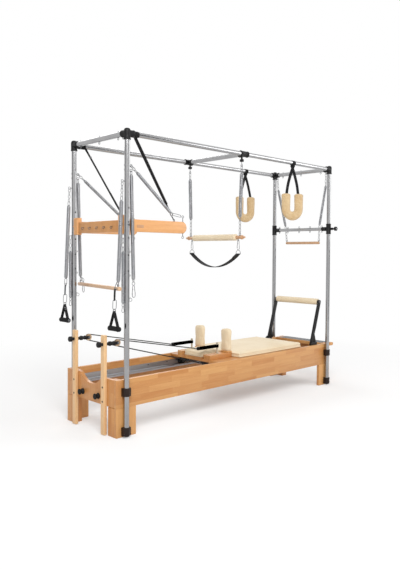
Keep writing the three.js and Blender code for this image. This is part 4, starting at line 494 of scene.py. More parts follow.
def rod(bm, start, end, radius, ease=1.0, count=32):
    """A solid round bar with eased ends."""
    run = end - start
    tall = run.length
    profile = [(0, 0), (radius - ease, 0), (radius - ease * 0.3, ease * 0.3), (radius, ease),
            (radius, tall - ease), (radius - ease * 0.3, tall - ease * 0.3), (radius - ease, tall), (0, tall)]
    turned(bm, profile, start, run.normalized(), count)


def pipe(bm, start, end, radius, wall=2.0, count=40):
    """A tube with eased mouths."""
    run = end - start
    tall = run.length
    profile = [(radius - wall, 0), (radius - 0.6, 0), (radius, 0.6), (radius, tall - 0.6),
            (radius - 0.6, tall), (radius - wall, tall), (radius - wall, 0)]
    turned(bm, profile, start, run.normalized(), count)


def outline(bm, points, thick, matrix, edge, steps, angle=30):
    """A flat outline of (x, y) points given thickness up Z, its sharp edges eased, then put in place."""
    shape = bmesh.new()
    face = shape.faces.new([shape.verts.new((x, y, 0)) for x, y in points])
    grown = bmesh.ops.extrude_face_region(shape, geom=[face], use_keep_orig=True)["geom"]
    top = [part for part in grown if isinstance(part, bmesh.types.BMVert)]
    bmesh.ops.translate(shape, vec=(0, 0, thick), verts=top)
    rounded(shape, edge, steps, angle)
    placed_in(bm, shape, matrix)


def arc(centre, radius, first, last, count=14):
    """Points of a circle's part about an (x, y) centre, from a first to a last angle in degrees."""
    turns = [radians(first + (last - first) * i / count) for i in range(count + 1)]
    return [(centre[0] + radius * cos(turn), centre[1] + radius * sin(turn)) for turn in turns]


IN_XZ = Matrix(((1, 0, 0, 0), (0, 0, 1, 0), (0, 1, 0, 0), (0, 0, 0, 1)))
IN_YZ = Matrix(((0, 0, 1, 0), (1, 0, 0, 0), (0, 1, 0, 0), (0, 0, 0, 1)))


def upright(y):
    """The plane of an outline drawn in X and Z, its thickness starting at Y."""
    return Matrix.Translation((0, y, 0)) @ IN_XZ


def endwise(x):
    """The plane of an outline drawn in Y and Z, its thickness starting at X."""
    return Matrix.Translation((x, 0, 0)) @ IN_YZ


def link(bm, centre, normal, radius, wire, stretch=0.0, tall=Z, count=20, sides=8):
    """A ring of wire, or a long link when it is stretched along a direction."""
    shape = bmesh.new()
    bmesh.ops.create_circle(shape, segments=sides, radius=wire, matrix=Matrix.Translation((radius, 0, 0))
            @ Matrix.Rotation(pi / 2, 4, "X"))
    bmesh.ops.spin(shape, geom=[*shape.verts, *shape.edges], cent=(0, 0, 0), axis=(0, 0, 1), dvec=(0, 0, 0),
            angle=2 * pi, steps=count, use_merge=True, use_duplicate=False)
    bmesh.ops.remove_doubles(shape, verts=shape.verts, dist=0.002)
    for vert in shape.verts:
        if abs(vert.co.x) > 0.01 * radius:
            vert.co.x += stretch if vert.co.x > 0 else -stretch
    up = (tall - normal * tall.dot(normal)).normalized()
    turn = Matrix((up, normal.cross(up), normal)).transposed().to_4x4()
    placed_in(bm, shape, Matrix.Translation(centre) @ turn)


def chain(bm, start, end, count, normal, radius, wire):
    """Links in line between two points, each turned a quarter from the one before it."""
    run = end - start
    along = run.normalized()
    flat = (normal - along * normal.dot(along)).normalized()
    turned_flat = along.cross(flat)
    share = 2 * wire
    long = (run.length + share * (count - 1)) / count
    for i in range(count):
        centre = start + along * (long / 2 + i * (long - share))
        link(bm, centre, turned_flat if i % 2 else flat, radius, wire, max(long / 2 - radius - wire, 0),
                along)


def bent(bm, points, radius, sides=8, closed=False, smooth=True):
    """A round wire bent along points."""
    data = bpy.data.curves.new("wire", "CURVE")
    data.dimensions = "3D"
    data.resolution_u = 5
    data.bevel_depth = radius
    data.bevel_resolution = max(sides // 2 - 2, 0)
    data.use_fill_caps = not closed
    if smooth:
        spline = data.splines.new("BEZIER")
        spline.bezier_points.add(len(points) - 1)
        for knot, point in zip(spline.bezier_points, points):
            knot.co = point
            knot.handle_left_type = knot.handle_right_type = "AUTO"
    else:
        spline = data.splines.new("POLY")
        spline.points.add(len(points) - 1)
        for knot, point in zip(spline.points, points):
            knot.co = (*point, 1)
    spline.use_cyclic_u = closed
    shape = bpy.data.objects.new("wire", data)
    made = shape.to_mesh()
    bm.from_mesh(made)
    shape.to_mesh_clear()
    bpy.data.objects.remove(shape)
    bpy.data.curves.remove(data)


def coil(bm, start, end, radius, wire, taper):
    """A closely wound spring drawn in at its two ends."""
    steps, sides, narrow = 12, 6, 0.42
    run = end - start
    pitch = 2 * wire + 0.35
    rise = run.length - 2 * wire
    turns = round(rise / pitch)
    place = facing(start, run.normalized())
    points = []
    for i in range(turns * steps + 1):
        height = wire + rise * i / (turns * steps)
        near = min(height, run.length - height) / taper
        arm = (radius - wire) * (narrow + (1 - narrow) * sin(min(near, 1) * pi / 2))
        points.append(place @ at(arm * cos(2 * pi * i / steps), arm * sin(2 * pi * i / steps), height))
    bent(bm, points, wire, sides, smooth=False)


def eye_bolt(bm, root, centre, normal, radius, wire=2.0, stem=2.6):
    """A ring at the end of a stem, with a thin nut where the stem leaves what carries it."""
    towards = (root - centre).normalized()
    link(bm, centre, normal, radius, wire, tall=towards)
    foot = centre + towards * (radius + wire * 0.4)
    if (root - foot).length > 2:
        rod(bm, foot, root, stem, 0.4, 16)


def washer(bm, centre, direction, outer, thick, inner=0.0, count=28):
    """A flat round plate with eased edges, or a ring if it has a hole."""
    ease = min(thick * 0.3, 0.8)
    profile = [(inner, 0), (outer - ease, 0), (outer, ease), (outer, thick - ease), (outer - ease, thick),
            (inner, thick)]
    if inner:
        profile.append((inner, 0))
    turned(bm, profile, centre, direction, count)


def screw(bm, seat, direction, radius=3.5, tall=2.0):
    """A round screw head with a sunk hexagon."""
    profile = [(0, tall * 0.45), (radius * 0.42, tall * 0.45), (radius * 0.5, tall),
            (radius * 0.8, tall * 0.9), (radius, tall * 0.35), (radius, -0.4), (0, -0.4)]
    turned(bm, profile, seat, direction, 18)


def lengths(points):
    """How far along a line of points each point lies."""
    out = [0.0]
    for before, after in zip(points, points[1:]):
        out.append(out[-1] + (after - before).length)
    return out


def ribbon(bm, points, wides, thick, across, columns=6, crease=0.0):
    """A strap laid along points, its width set along it, with UVs in metres."""
    rows = len(points) - 1
    shape = bmesh.new()
    uv = shape.loops.layers.uv.new("UVMap")
    bmesh.ops.create_grid(shape, x_segments=columns, y_segments=rows, size=1)
    far = lengths(points)
    widths = wides if isinstance(wides, (list, tuple)) else [wides] * len(points)
    tangents = [(points[min(i + 1, rows)] - points[max(i - 1, 0)]).normalized() for i in range(rows + 1)]
    sides = [across] * len(points) if isinstance(across, Vector) else across
    for face in shape.faces:
        for loop in face.loops:
            row = round((loop.vert.co.y + 1) / 2 * rows)
            loop[uv].uv = (loop.vert.co.x * widths[row] / 2 * MM, far[row] * MM)
    for vert in shape.verts:
        row = round((vert.co.y + 1) / 2 * rows)
        share = vert.co.x
        side = (sides[row] - tangents[row] * sides[row].dot(tangents[row])).normalized()
        out = tangents[row].cross(side)
        vert.co = points[row] + side * share * widths[row] / 2 + out * (crease * (1 - share * share)
                - thick / 2)
    bmesh.ops.solidify(shape, geom=shape.faces, thickness=thick)
    placed_in(bm, shape, Matrix())


def stitches(bm, points, normal, pitch=4.0, long=2.6, radius=0.35):
    """A row of short sewn stitches along points."""
    far = lengths(points)
    total = far[-1]
    count = max(int(total / pitch), 1)

    def place(distance):
        i = max(j for j in range(len(far) - 1) if far[j] <= distance + 1e-6)
        share = (distance - far[i]) / (far[i + 1] - far[i])
        return points[i].lerp(points[i + 1], share)

    for k in range(count):
        start = (k + 0.5) * total / count - long / 2
        ends = [place(max(start, 0)), place(min(start + long, total))]
        middle = (ends[0] + ends[1]) / 2 + normal * radius
        bent(bm, [ends[0] - normal * radius, middle, ends[1] - normal * radius], radius, 4, smooth=False)


def eased(points, count):
    """A smooth line through points, with count steps between neighbours."""
    padded = [points[0] * 2 - points[1], *points, points[-1] * 2 - points[-2]]
    out = []
    for i in range(1, len(padded) - 2):
        a, b, c, d = padded[i - 1:i + 3]
        for k in range(count):
            t = k / count
            out.append(0.5 * (2 * b + (c - a) * t + (2 * a - 5 * b + 4 * c - d) * t * t
                    + (3 * b - a - 3 * c + d) * t ** 3))
    return [*out, points[-1].copy()]


def meshed(bm, name, material, smooth=38, tidy=True):
    """The mesh as an object in metres, with its edges sharp or smooth by their angle."""
    bmesh.ops.scale(bm, vec=(MM, MM, MM), verts=bm.verts)
    if tidy:
        bmesh.ops.recalc_face_normals(bm, faces=bm.faces)
    for face in bm.faces:
        face.smooth = True
    for edge in bm.edges:
        edge.smooth = len(edge.link_faces) == 2 and edge.calc_face_angle(0) < radians(smooth)
    mesh = bpy.data.meshes.new(name)
    bm.to_mesh(mesh)
    bm.free()
    mesh.materials.append(material)
    made = bpy.data.objects.new(name, mesh)
    scene.collection.objects.link(made)
    return made


def finished(bm, name, material, body, nodes=(), smooth=38, tidy=True):
    """The mesh as a piece of the table, on its body."""
    return settled(meshed(bm, name, material, smooth, tidy), body, nodes)


def settled(made, body, nodes=()):
    """A piece on its body, standing for the CAD nodes named."""
    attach(made, body)
    if nodes:
        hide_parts(*([nodes] if isinstance(nodes, str) else nodes))
    return made


# ---- Shared places, in millimetres ----

POST_X, POST_Y = 1208, 338
RAIL_Z, TUBE = 2100, 19
BED_END, BED_SIDE, BOARD_IN = 1278, 317, 289
PULLEY_Z, PULLEY_X, RISER_Y = 640, -1178, 185
PUSH_Z = 1472
MID_X = -24
FOOT_BAR_Z = 1524
PEG_X, PEG_Y, LOOP_Z = -138, 157, 505  # the carriage pegs, and the rope loops' middle height on them
LOOP_END = -370
WALL_Y = 288.7  # the inner faces of the side boards, less their gap
BOARD_LOW, BOARD_TOP = 203, 400
AXLE_Z, FRONT_AXLE, REAR_AXLE = 330.3, -150, 700
SPRING_YS, SPRING_Z = (-120, -60, 0, 60, 120), 316
REST_X, REST_Y = -33, 162
HANG_Y, BAR_Y, BAR_Z = 316, 301, 1415  # the crossbar's eyes, and the trapeze bar below them
SLING_Y = 284
ROLL_X, ROLL_Y, ROLL_Z = 1245, 200, 1390


# ---- Ropes, with the webbing loops that hang on the carriage pegs ----

def rope_line(side):
    """The rope's middle line: from its loop, over the pulley and back down to the cleat under the deck."""
    wheel = at(PULLEY_X, side * RISER_Y, PULLEY_Z)
    loop_end = at(LOOP_END, side * PEG_Y, LOOP_Z)
    cleat = at(-263.5, side * 120, 366)
    wrap = 22

    def tangent(end, way):
        out = hypot(end.x - wheel.x, end.z - wheel.z)
        return atan2(end.z - wheel.z, end.x - wheel.x) + way * acos(wrap / out)

    first, last = tangent(loop_end, 1), tangent(cleat, -1) + 2 * pi

    def on_wheel(turn):
        return wheel + at(wrap * cos(turn), 0, wrap * sin(turn))

    over = [on_wheel(first + (last - first) * i / 12) for i in range(13)]
    upper = [loop_end.lerp(over[0], i / 24) for i in range(24)]
    lower = [over[-1].lerp(cleat, i / 24) for i in range(1, 25)]
    return [*upper, *over, *lower]


def spanning(made, node_name=None):
    """A piece on no body, its transform baked into its mesh, standing for the CAD node named."""
    if node_name:
        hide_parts(node_name)
    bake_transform(made)
    return made


def braid(name, slot):
    """A braided cord, its diamonds drawn in the object's own place."""
    material, tree, surface = shader(name, slot, Specular_IOR_Level=0.25, Sheen_Weight=0.04)
    made = placed(tree, HANDLED, Vector=object_place(tree), Color=rgb(8, 8, 9), Marked=rgb(34, 34, 37),
            Low=0.62, High=0.8, Scale=2.0)
    tree.links.new(made["Color"], surface.inputs["Base Color"])
    tree.links.new(made["Roughness"], surface.inputs["Roughness"])
    slant, cross = (node(tree, "TexWave", Vector=object_place(tree, rotation=(0, radians(turn), 0)),
            Scale=150.0, Distortion=0.4, wave_type="BANDS", bands_direction="X")["Fac"] for turn in (50, -50))
    bumped(tree, surface, times(tree, slant, cross), 0.9, 0.0008)
    return material


rope_cover = braid("black_rope", "black_rope")


def rope_loop(name, side):
    """The webbing loop at the rope's end, closed round the peg, with its sewn end and ring."""
    half = 16
    near, far = PEG_X - 2, LOOP_END + 16
    ends = arc((near, 0), half, -90, 90, 12) + arc((far, 0), half, 90, 270, 12)
    points = [at(x, side * PEG_Y + y, LOOP_Z) for x, y in [*ends, ends[0]]]
    points = [place for a, b in zip(points, points[1:]) for place in (a, a.lerp(b, 0.5))]
    points.append(points[0].copy())
    bm = bmesh.new()
    ribbon(bm, points, 20, 3.4, Z, 5)
    finished(bm, "rope_loop_" + name, strap_small, "carriage", smooth=50)
    bm = bmesh.new()
    block(bm, at(LOOP_END, side * PEG_Y - 7, 496), at(-338, side * PEG_Y + 7, 514), 3, 3)
    for x in (-362, -354, -346):
        for way in BOTH:
            stitches(bm, [at(x, side * PEG_Y + way * 7.1, 499), at(x, side * PEG_Y + way * 7.1, 511)],
                    Y * way, 3.2, 2.2, 0.4)
    knot = finished(bm, "rope_loop_end_" + name, grip_foam, "carriage")
    bm = bmesh.new()
    link(bm, at(LOOP_END - 4, side * PEG_Y, LOOP_Z), Y, 8, 1.8, 2, X)
    rod(bm, at(-398, side * PEG_Y, 509.5), at(-380, side * PEG_Y, 505.5), 5.4, 1.2, 20)
    ring = finished(bm, "rope_ring_" + name, bright_wire, "carriage")
    return [knot, ring]


for side_name, side in SIDES:
    line = rope_line(side)
    bm = bmesh.new()
    bent(bm, line, 4, 10, smooth=False)
    rope = meshed(bm, "rope_cord_" + side_name, rope_cover, smooth=70, tidy=False)
    spanning(rope, "rope_" + side_name)
    ends = rope_loop(side_name, side)


# ---- Bed ----

def bed_side(name, side):
    inner, outer = sorted((side * BOARD_IN, side * BED_SIDE))
    bm = bmesh.new()
    block(bm, at(-BED_END, inner, BOARD_LOW), at(BED_END, outer, BOARD_TOP), 2.5, 3)
    finished(bm, "bed_board_" + name, beech_side, "frame", "side_panel_" + name)
    bm = bmesh.new()
    for end in BOTH:
        block(bm, at(end * BED_END, inner, 0), at(end * (BED_END - 170), outer, BOARD_LOW), 2.5, 3)
        low, high = sorted((side * BOARD_IN, side * 217))
        block(bm, at(end * BED_END, low, 0), at(end * (BED_END - 66), high, BOARD_LOW), 2.5, 3)
        top = 395 if end < 0 else 371
        block(bm, at(end * (BED_END - 28.4), low, BOARD_LOW), at(end * (BED_END - 66), high, top), 2, 2)
    finished(bm, "bed_legs_" + name, beech_leg, "frame")
    bm = bmesh.new()
    for end in BOTH:
        for x, y in ((BED_END - 33, 253), (BED_END - 140, 303)):
            turned(bm, [(0, 0), (11, 0), (13, 1.2), (13, 2.5), (0, 2.5)], at(end * x, side * y, -0.4), Z, 24)
    finished(bm, "bed_glides_" + name, dark_rubber, "frame")


def end_boards():
    reach, dip = 135, 65
    scallop = (reach ** 2 + dip ** 2) / (2 * dip)
    half = 180 / pi * atan2(reach, scallop - dip)
    curve = arc((0, BOARD_TOP + scallop - dip), scallop, -90 + half, -90 - half, 30)
    bm = bmesh.new()
    outline(bm, [(-WALL_Y, 205), (WALL_Y, 205), (WALL_Y, BOARD_TOP), *curve, (-WALL_Y, BOARD_TOP)], 28,
            endwise(-BED_END), 3, 3)
    finished(bm, "head_board", beech_end, "frame", "end_board_head")
    bm = bmesh.new()
    for side in BOTH:
        profile = [(0, -1), (21, -1), (21.5, 1.5), (21, 7), (15, 14.5), (14, 17.5), (15, 20.5), (20, 26),
                (21.5, 30), (21, 33.5), (18.5, 35), (9, 35), (7, 33), (0, 33)]
        turned(bm, profile, at(-BED_END, side * 100, 260), -X, 36)
    finished(bm, "head_buffers", dark_rubber, "frame")
    bm = bmesh.new()
    block(bm, at(BED_END - 28, -WALL_Y, 205), at(BED_END, WALL_Y, 371.7), 2.5, 3)
    finished(bm, "foot_board", beech_end, "frame", "end_board_foot")


def platform():
    """The standing platform with its round nose and the grey grip sheet let into its top."""
    nose = arc((BED_END + 67 - 15, 387), 15, -90, 90, 16)
    bm = bmesh.new()
    outline(bm, [(BED_END + 0.3, 372), *nose, (BED_END + 0.3, 402)], 634, upright(-317), 1.5, 2)
    block(bm, at(1200, -WALL_Y, 372), at(BED_END + 1, WALL_Y, 402), 1.5, 2)
    finished(bm, "platform_board", beech_across, "frame", "standing_platform")
    bm = bmesh.new()
    block(bm, at(1212, -262, 401.4), at(1328, 262, 403.4), 0.8, 2)
    finished(bm, "platform_grip", grey_grip, "frame")
    bm = bmesh.new()
    for x, y in ((1216, -276), (1216, 276), (1306, -300), (1306, 300)):
        screw(bm, at(x, y, 402), Z, 4.5, 1.4)
    finished(bm, "platform_screws", bright_wire, "frame")


def track(name, side):
    wall, inner = WALL_Y * side, 248 * side
    profile = [(wall, 285), (wall, 345), (wall - 4 * side, 345), (wall - 4 * side, 304),
            (wall - 8 * side, 300), (inner + 5 * side, 300), (inner + 5 * side, 303), (inner, 303),
            (inner, 285)]
    bm = bmesh.new()
    outline(bm, profile, 2410, endwise(-1205), 0.7, 2, 20)
    finished(bm, "track_rail_" + name, aluminium, "frame", "track_" + name)
    bm = bmesh.new()
    for i in range(12):
        x = -1150 + i * 209
        screw(bm, at(x, wall - 4 * side, 332), -Y * side, 5, 2)
        washer(bm, at(x + 95, side * 262, 299.6), Z, 4.2, 0.8)
    finished(bm, "track_screws_" + name, black_paint, "frame")


def spring_bar():
    """The bar that the carriage springs hook on, with its upright pins and its two end blocks."""
    bm = bmesh.new()
    block(bm, at(1085, -284.4, 300.3), at(1110, 284.4, 316.3), 1.5, 2)
    finished(bm, "spring_bar_body", aluminium, "frame", "spring_bar")
    bm = bmesh.new()
    for y in SPRING_YS:
        turned(bm, [(0, 0), (3, 0), (3, 9), (5.5, 10.5), (5.5, 13.5), (4, 14.5), (0, 14.5)], at(1097, y, 316),
                Z, 20)
    finished(bm, "spring_bar_pins", bright_wire, "frame")
    bm = bmesh.new()
    for side in BOTH:
        block(bm, at(1080, side * 246, 300), at(1115, side * 284, 322), 3, 3)
    finished(bm, "spring_bar_blocks", black_plastic, "frame")


def carriage_springs():
    """The five springs under the carriage, hooked from its hanger to the spring bar."""
    bm = bmesh.new()
    for y in SPRING_YS:
        coil(bm, at(892, y, SPRING_Z), at(1060, y, SPRING_Z), 12, 1.6, 16)
        for hook in (((894, 316), (886, 316), (880, 319), (874, 316), (878, 311)),
                ((1058, 316), (1070, 316), (1079, 319), (1084, 317))):
            bent(bm, [at(x, y, z) for x, z in hook], 1.8, 8)
        link(bm, at(1076, y, 318), Z, 7, 1.6, 2, X)
    coils = meshed(bm, "carriage_spring_coils", worn_wire, tidy=False)
    spanning(coils, "carriage_springs")
    bm = bmesh.new()
    block(bm, at(872.6, -138, 305), at(879, 138, 327), 1.2, 2)
    finished(bm, "carriage_spring_plate", black_paint, "carriage")


def riser(name, side):
    bm = bmesh.new()
    low, high = sorted((side * (RISER_Y - 23), side * (RISER_Y + 23)))
    block(bm, at(-1303.3, low, 3), at(-1278.3, high, 705), 5, 4)
    finished(bm, "riser_board_" + name, beech_riser, "frame", "riser_" + name)
    bm = bmesh.new()
    for z in (237, 338):
        washer(bm, at(-1303, side * RISER_Y, z), -X, 7, 1.2)
        screw(bm, at(-1304, side * RISER_Y, z), -X, 4.6, 2.4)
    finished(bm, "riser_screws_" + name, black_paint, "frame")


for side_name, side in SIDES:
    bed_side(side_name, side)
    track(side_name, side)
    riser(side_name, side)
end_boards()
platform()
spring_bar()
carriage_springs()


# ---- Canopy ----

def clamp(bm, bolts, x, y, z, side):
    """A saddle clamp that holds a post to the bed side, with its two bolts."""
    sweep = [(-21.2, 13.3), *arc((0, 0), 25, 148, 32, 18)[1:-1], (21.2, 13.3)]
    plan = [(-30, -20.7), (-30, 13.3), *sweep, (30, 13.3), (30, -20.7)]
    points = [(px, py * side) for px, py in plan]
    outline(bm, points, 58, Matrix.Translation((x, y, z - 29)), 2.2, 3, 35)
    for bx in (-25.6, 25.6):
        for bz in (-14, 14):
            screw(bolts, at(x + bx, y + side * 13.3, z + bz), Y * side, 3.6, 2.2)


def post(end_name, end, side_name, side):
    x, y = end * POST_X, side * POST_Y
    name = end_name + "_" + side_name
    bm = bmesh.new()
    pipe(bm, at(x, y, 13), at(x, y, 2081), TUBE, 2, 56)
    finished(bm, "post_tube_" + name, steel, "frame", "post_" + name)
    bm, bolts = bmesh.new(), bmesh.new()
    for z in (42, 316):
        clamp(bm, bolts, x, y, z, side)
    turned(bm, [(0, 8), (17, 8), (18.6, 9.5), (18.8, 14), (0, 14)], at(x, y, 0), Z, 40)
    finished(bm, "post_clamps_" + name, brown_paint, "frame")
    finished(bolts, "post_clamp_bolts_" + name, black_paint, "frame")
    if end < 0:
        post_hooks(name, x, y, side)


def post_hooks(name, x, y, side):
    """The eyes, pin and loose ring of a head post, and the dark plugs in its row of holes."""
    bm = bmesh.new()
    for way, reach, z, radius in ((-1, 40, 1770, 9), (1, 34, 1848, 9), (1, 34, 1880, 9)):
        eye_bolt(bm, at(x + way * 18.4, y, z), at(x + way * reach, y, z), Y, radius, 2.1)
        washer(bm, at(x + way * 18.6, y, z), X * way, 5.4, 2)
        turned(bm, [(0, 0), (5, 0), (5, 3.2), (3.4, 4.6), (2.4, 7.5), (0, 7.5)], at(x - way * 18.6, y, z),
                -X * way, 6)
    eye_bolt(bm, at(x - 18.4, y, 1409), at(x - 32, y, 1409), X, 6, 2.0)
    for z in (1288, 1124):
        link(bm, at(x + 23.5, y, z), Y, 5.6, 1.9)
        washer(bm, at(x + 18.4, y, z), X, 4.6, 1.6)
    eye_bolt(bm, at(x + 18.4, y, 969), at(x + 26, y, 969), Z, 5, 1.9)
    link(bm, at(x + 33, y, 955), Y, 11.5, 1.7)
    rod(bm, at(x, y - side * 18, PUSH_Z), at(x, y - side * 48, PUSH_Z), 6, 1)
    washer(bm, at(x, y + side * 18.2, PUSH_Z), Y * side, 8, 3)
    finished(bm, "post_eyes_" + name, bright_wire, "frame")
    bm = bmesh.new()
    for z in (1588, 1492, 1382, 1265, 1155):
        washer(bm, at(x, y + side * 18.35, z), Y * side, 5.2, 1.2)
        washer(bm, at(x, y - side * 18.35, z), -Y * side, 5.2, 1.2)
    finished(bm, "post_plugs_" + name, black_plastic, "frame")


def socket_profile(radius, tall):
    """A fitting's arm, with the rolled rim at its mouth."""
    return [(0, 0), (radius, 0), (radius, tall - 12), (radius + 0.6, tall - 9), (radius + 1.6, tall - 8),
            (radius + 1.8, tall - 4), (radius + 1.4, tall - 0.8), (radius - 0.4, tall), (TUBE - 1, tall),
            (TUBE - 1, tall - 2), (0, tall - 2)]


def corner(bm, bolts, end, side):
    """The black fitting that joins a post to its two rails."""
    x, y = end * POST_X, side * POST_Y
    centre = at(x, y, RAIL_Z)
    turned(bm, socket_profile(23.5, 45), centre, -Z, 48)
    cap = [(0, -14), (23.5, -14), (24.2, 2), (24, 14), (22.6, 22), (19.4, 28.6), (13.6, 33), (6.4, 34.7),
            (0, 35)]
    turned(bm, cap, centre, Z, 48)
    turned(bm, socket_profile(23.5, 55), centre, -Y * side, 48)
    turned(bm, socket_profile(23.5, 55), centre, -X * end, 48)
    for offset, out in ((at(-end * 36, 0, -23.5), -Z), (at(0, -side * 36, -23.5), -Z),
            (at(end * 23.5, 0, -26), X * end)):
        screw(bolts, centre + offset, out, 4, 2.4)


def rail_eye(bm, x, y):
    """An eye bolt through a cross rail, its ring below and its nut and end above."""
    link(bm, at(x, y, RAIL_Z - 27), X, 8.2, 2)
    washer(bm, at(x, y, RAIL_Z - TUBE - 1.4), Z, 4.8, 2.4)
    turned(bm, [(0, 0), (5, 0), (5, 3.6), (2.4, 4.4), (2.4, 8), (0, 8)], at(x, y, RAIL_Z + TUBE - 0.4), Z, 6)


def canopy():
    for side_name, side in SIDES:
        bm = bmesh.new()
        pipe(bm, at(-1182, side * POST_Y, RAIL_Z), at(1182, side * POST_Y, RAIL_Z), TUBE, 2, 56)
        finished(bm, "rail_tube_" + side_name, steel, "frame", "top_rail_" + side_name)
    for end_name, end in ENDS:
        bm = bmesh.new()
        pipe(bm, at(end * POST_X, -312, RAIL_Z), at(end * POST_X, 312, RAIL_Z), TUBE, 2, 56)
        finished(bm, "cross_tube_" + end_name, steel, "frame", "cross_rail_" + end_name)
        bm, bolts = bmesh.new(), bmesh.new()
        for side in BOTH:
            corner(bm, bolts, end, side)
        finished(bm, "corner_fittings_" + end_name, black_plastic, "frame")
        finished(bolts, "corner_bolts_" + end_name, black_paint, "frame")
        bm = bmesh.new()
        for y in ((245, -2, -234, -289) if end < 0 else (231, 0, -239)):
            rail_eye(bm, end * POST_X, y)
        if end > 0:
            for side in BOTH:
                link(bm, at(end * POST_X, side * 302, RAIL_Z - 34), Y, 9, 2.1)
                rod(bm, at(end * POST_X, side * 302, RAIL_Z - 18), at(end * POST_X, side * 302, RAIL_Z - 26),
                        3, 0.4)
                washer(bm, at(end * POST_X, side * 302, RAIL_Z - 20.4), Z, 5, 2.4)
        finished(bm, "rail_eyes_" + end_name, bright_wire, "frame")
        for side_name, side in SIDES:
            post(end_name, end, side_name, side)


canopy()


# ---- Carriage ----

def carriage():
    bm = bmesh.new()
    block(bm, at(-265, -285, 380), at(872, 285, 399.6), 3, 3)
    for side in BOTH:
        low, high = sorted((side * 122, side * 200))
        block(bm, at(-265, low, 399), at(-3, high, 440), 4, 4)
    finished(bm, "carriage_board", beech_lying, "carriage", "carriage_deck")
    bm, bolts = bmesh.new(), bmesh.new()
    for side in BOTH:
        low, high = sorted((side * 236, side * 244))
        for x in (FRONT_AXLE, REAR_AXLE):
            block(bm, at(x - 28, low, 318), at(x + 28, high, 380.2), 2.5, 3)
            block(bm, at(x - 28, side * 200 - 20, 374), at(x + 28, side * 220 + 20, 380.2), 1.5, 2)
            screw(bolts, at(x, side * 236, AXLE_Z), -Y * side, 7, 4)
            for dx in (-18, 18):
                screw(bolts, at(x + dx, side * 205, 374), -Z, 4, 2)
        low, high = sorted((side * 101, side * 139))
        block(bm, at(-262, low, 352), at(-234, high, 380.2), 3, 3)
        screw(bolts, at(-234, side * 120, 366), X, 5, 3)
    block(bm, at(852, -150, 300), at(858, 150, 380.2), 1.5, 2)
    block(bm, at(852, -150, 373), at(872, 150, 380.2), 1.5, 2)
    block(bm, at(857, -138, 303), at(872, 138, 329), 2, 2)
    for y in (-150, -128, -112, -88, 88, 112, 128, 150):
        turned(bm, [(0, 0), (5, 0), (5, 8), (9, 10), (9.6, 15), (8.4, 20), (0, 21)], at(-246, y, 380.2), -Z,
                20)
        washer(bolts, at(-262, y, 365), -X, 4.2, 1.2)
    block(bm, at(-258, -158, 371), at(-236, 158, 380.2), 2, 2)
    finished(bm, "carriage_brackets", black_paint, "carriage")
    finished(bolts, "carriage_bolts", bright_wire, "carriage")
    bm = bmesh.new()
    for side in BOTH:
        pin = [(0, 28), (8, 28), (8, 118), (9.6, 120), (10.4, 124), (9.4, 130), (6, 133), (0, 133)]
        turned(bm, pin, at(PEG_X, side * PEG_Y, 400), Z, 28)
        washer(bm, at(PEG_X, side * PEG_Y, 439.6), Z, 13, 2.5)
    finished(bm, "carriage_pegs", peg_nylon, "carriage")


def wheels(name, x):
    bm, axle = bmesh.new(), bmesh.new()
    for side in BOTH:
        tyre = [(8, 0), (22, 0), (23, 2), (28.5, 2), (30, 3.8), (30, 16.2), (28.5, 18), (23, 18), (22, 20),
                (8, 20), (8, 0)]
        turned(bm, tyre, at(x, side * 256, AXLE_Z), Y * side, 44)
        turned(axle, [(0, 0), (6.5, 0), (6.5, 14), (10, 14), (10, 17), (4, 19), (0, 19)],
                at(x, side * 256, AXLE_Z), Y * side, 24)
    rod(axle, at(x, -281, AXLE_Z), at(x, 281, AXLE_Z), 6, 0.8, 24)
    finished(bm, "wheel_tyres_" + name, dark_rubber, "wheels_" + name, "wheel_set_" + name)
    finished(axle, "wheel_axle_" + name, bright_wire, "wheels_" + name)


# ---- Cushions ----

def cushion_shell(low, high, corner, crown):
    """A closed rounded box whose top swells and whose side draws in round its middle."""
    drawn, steps = 3.0, 9
    middle, half = (low + high) / 2, (high - low) / 2
    bm = bmesh.new()
    bmesh.ops.create_cube(bm, size=2)
    bmesh.ops.scale(bm, vec=half, verts=bm.verts)
    upright_edges = [edge for edge in bm.edges if abs(edge.verts[0].co.z - edge.verts[1].co.z) > half.z]
    bmesh.ops.bevel(bm, geom=upright_edges, offset=corner, offset_type="OFFSET", segments=6, profile=0.5,
            affect="EDGES", clamp_overlap=True, material=-1)
    caps = [edge for edge in bm.edges if abs(edge.verts[0].co.z - edge.verts[1].co.z) < 0.01]
    bmesh.ops.bevel(bm, geom=caps, offset=min(9, half.z * 0.5), offset_type="OFFSET", segments=4, profile=0.5,
            affect="EDGES", clamp_overlap=True, material=-1)
    pitch = max(half) / steps
    for axis, count in ((0, half.x), (1, half.y), (2, half.z)):
        cuts = max(int(2 * count / pitch), 2)
        for i in range(1, cuts):
            place = [0, 0, 0]
            place[axis] = -count + 2 * count * i / cuts
            normal = [0, 0, 0]
            normal[axis] = 1
            bmesh.ops.bisect_plane(bm, geom=[*bm.verts, *bm.edges, *bm.faces], dist=0.01, plane_co=place,
                    plane_no=normal)
    for vert in bm.verts:
        sx, sy, sz = vert.co.x / half.x, vert.co.y / half.y, vert.co.z / half.z
        dome = max(1 - sx ** 4, 0) * max(1 - sy ** 4, 0)
        if sz > 0:
            vert.co.z += crown * dome * min(sz * 1.4, 1)
        edge_on = max(abs(sx), abs(sy))
        if edge_on > 0.9 and abs(sz) < 0.6:
            pull = drawn * (1 - (sz / 0.6) ** 2)
            vert.co.x -= pull * sx * (abs(sx) > 0.9)
            vert.co.y -= pull * sy * (abs(sy) > 0.9)
    bmesh.ops.translate(bm, vec=middle, verts=bm.verts)
    bmesh.ops.recalc_face_normals(bm, faces=bm.faces)
    return bm


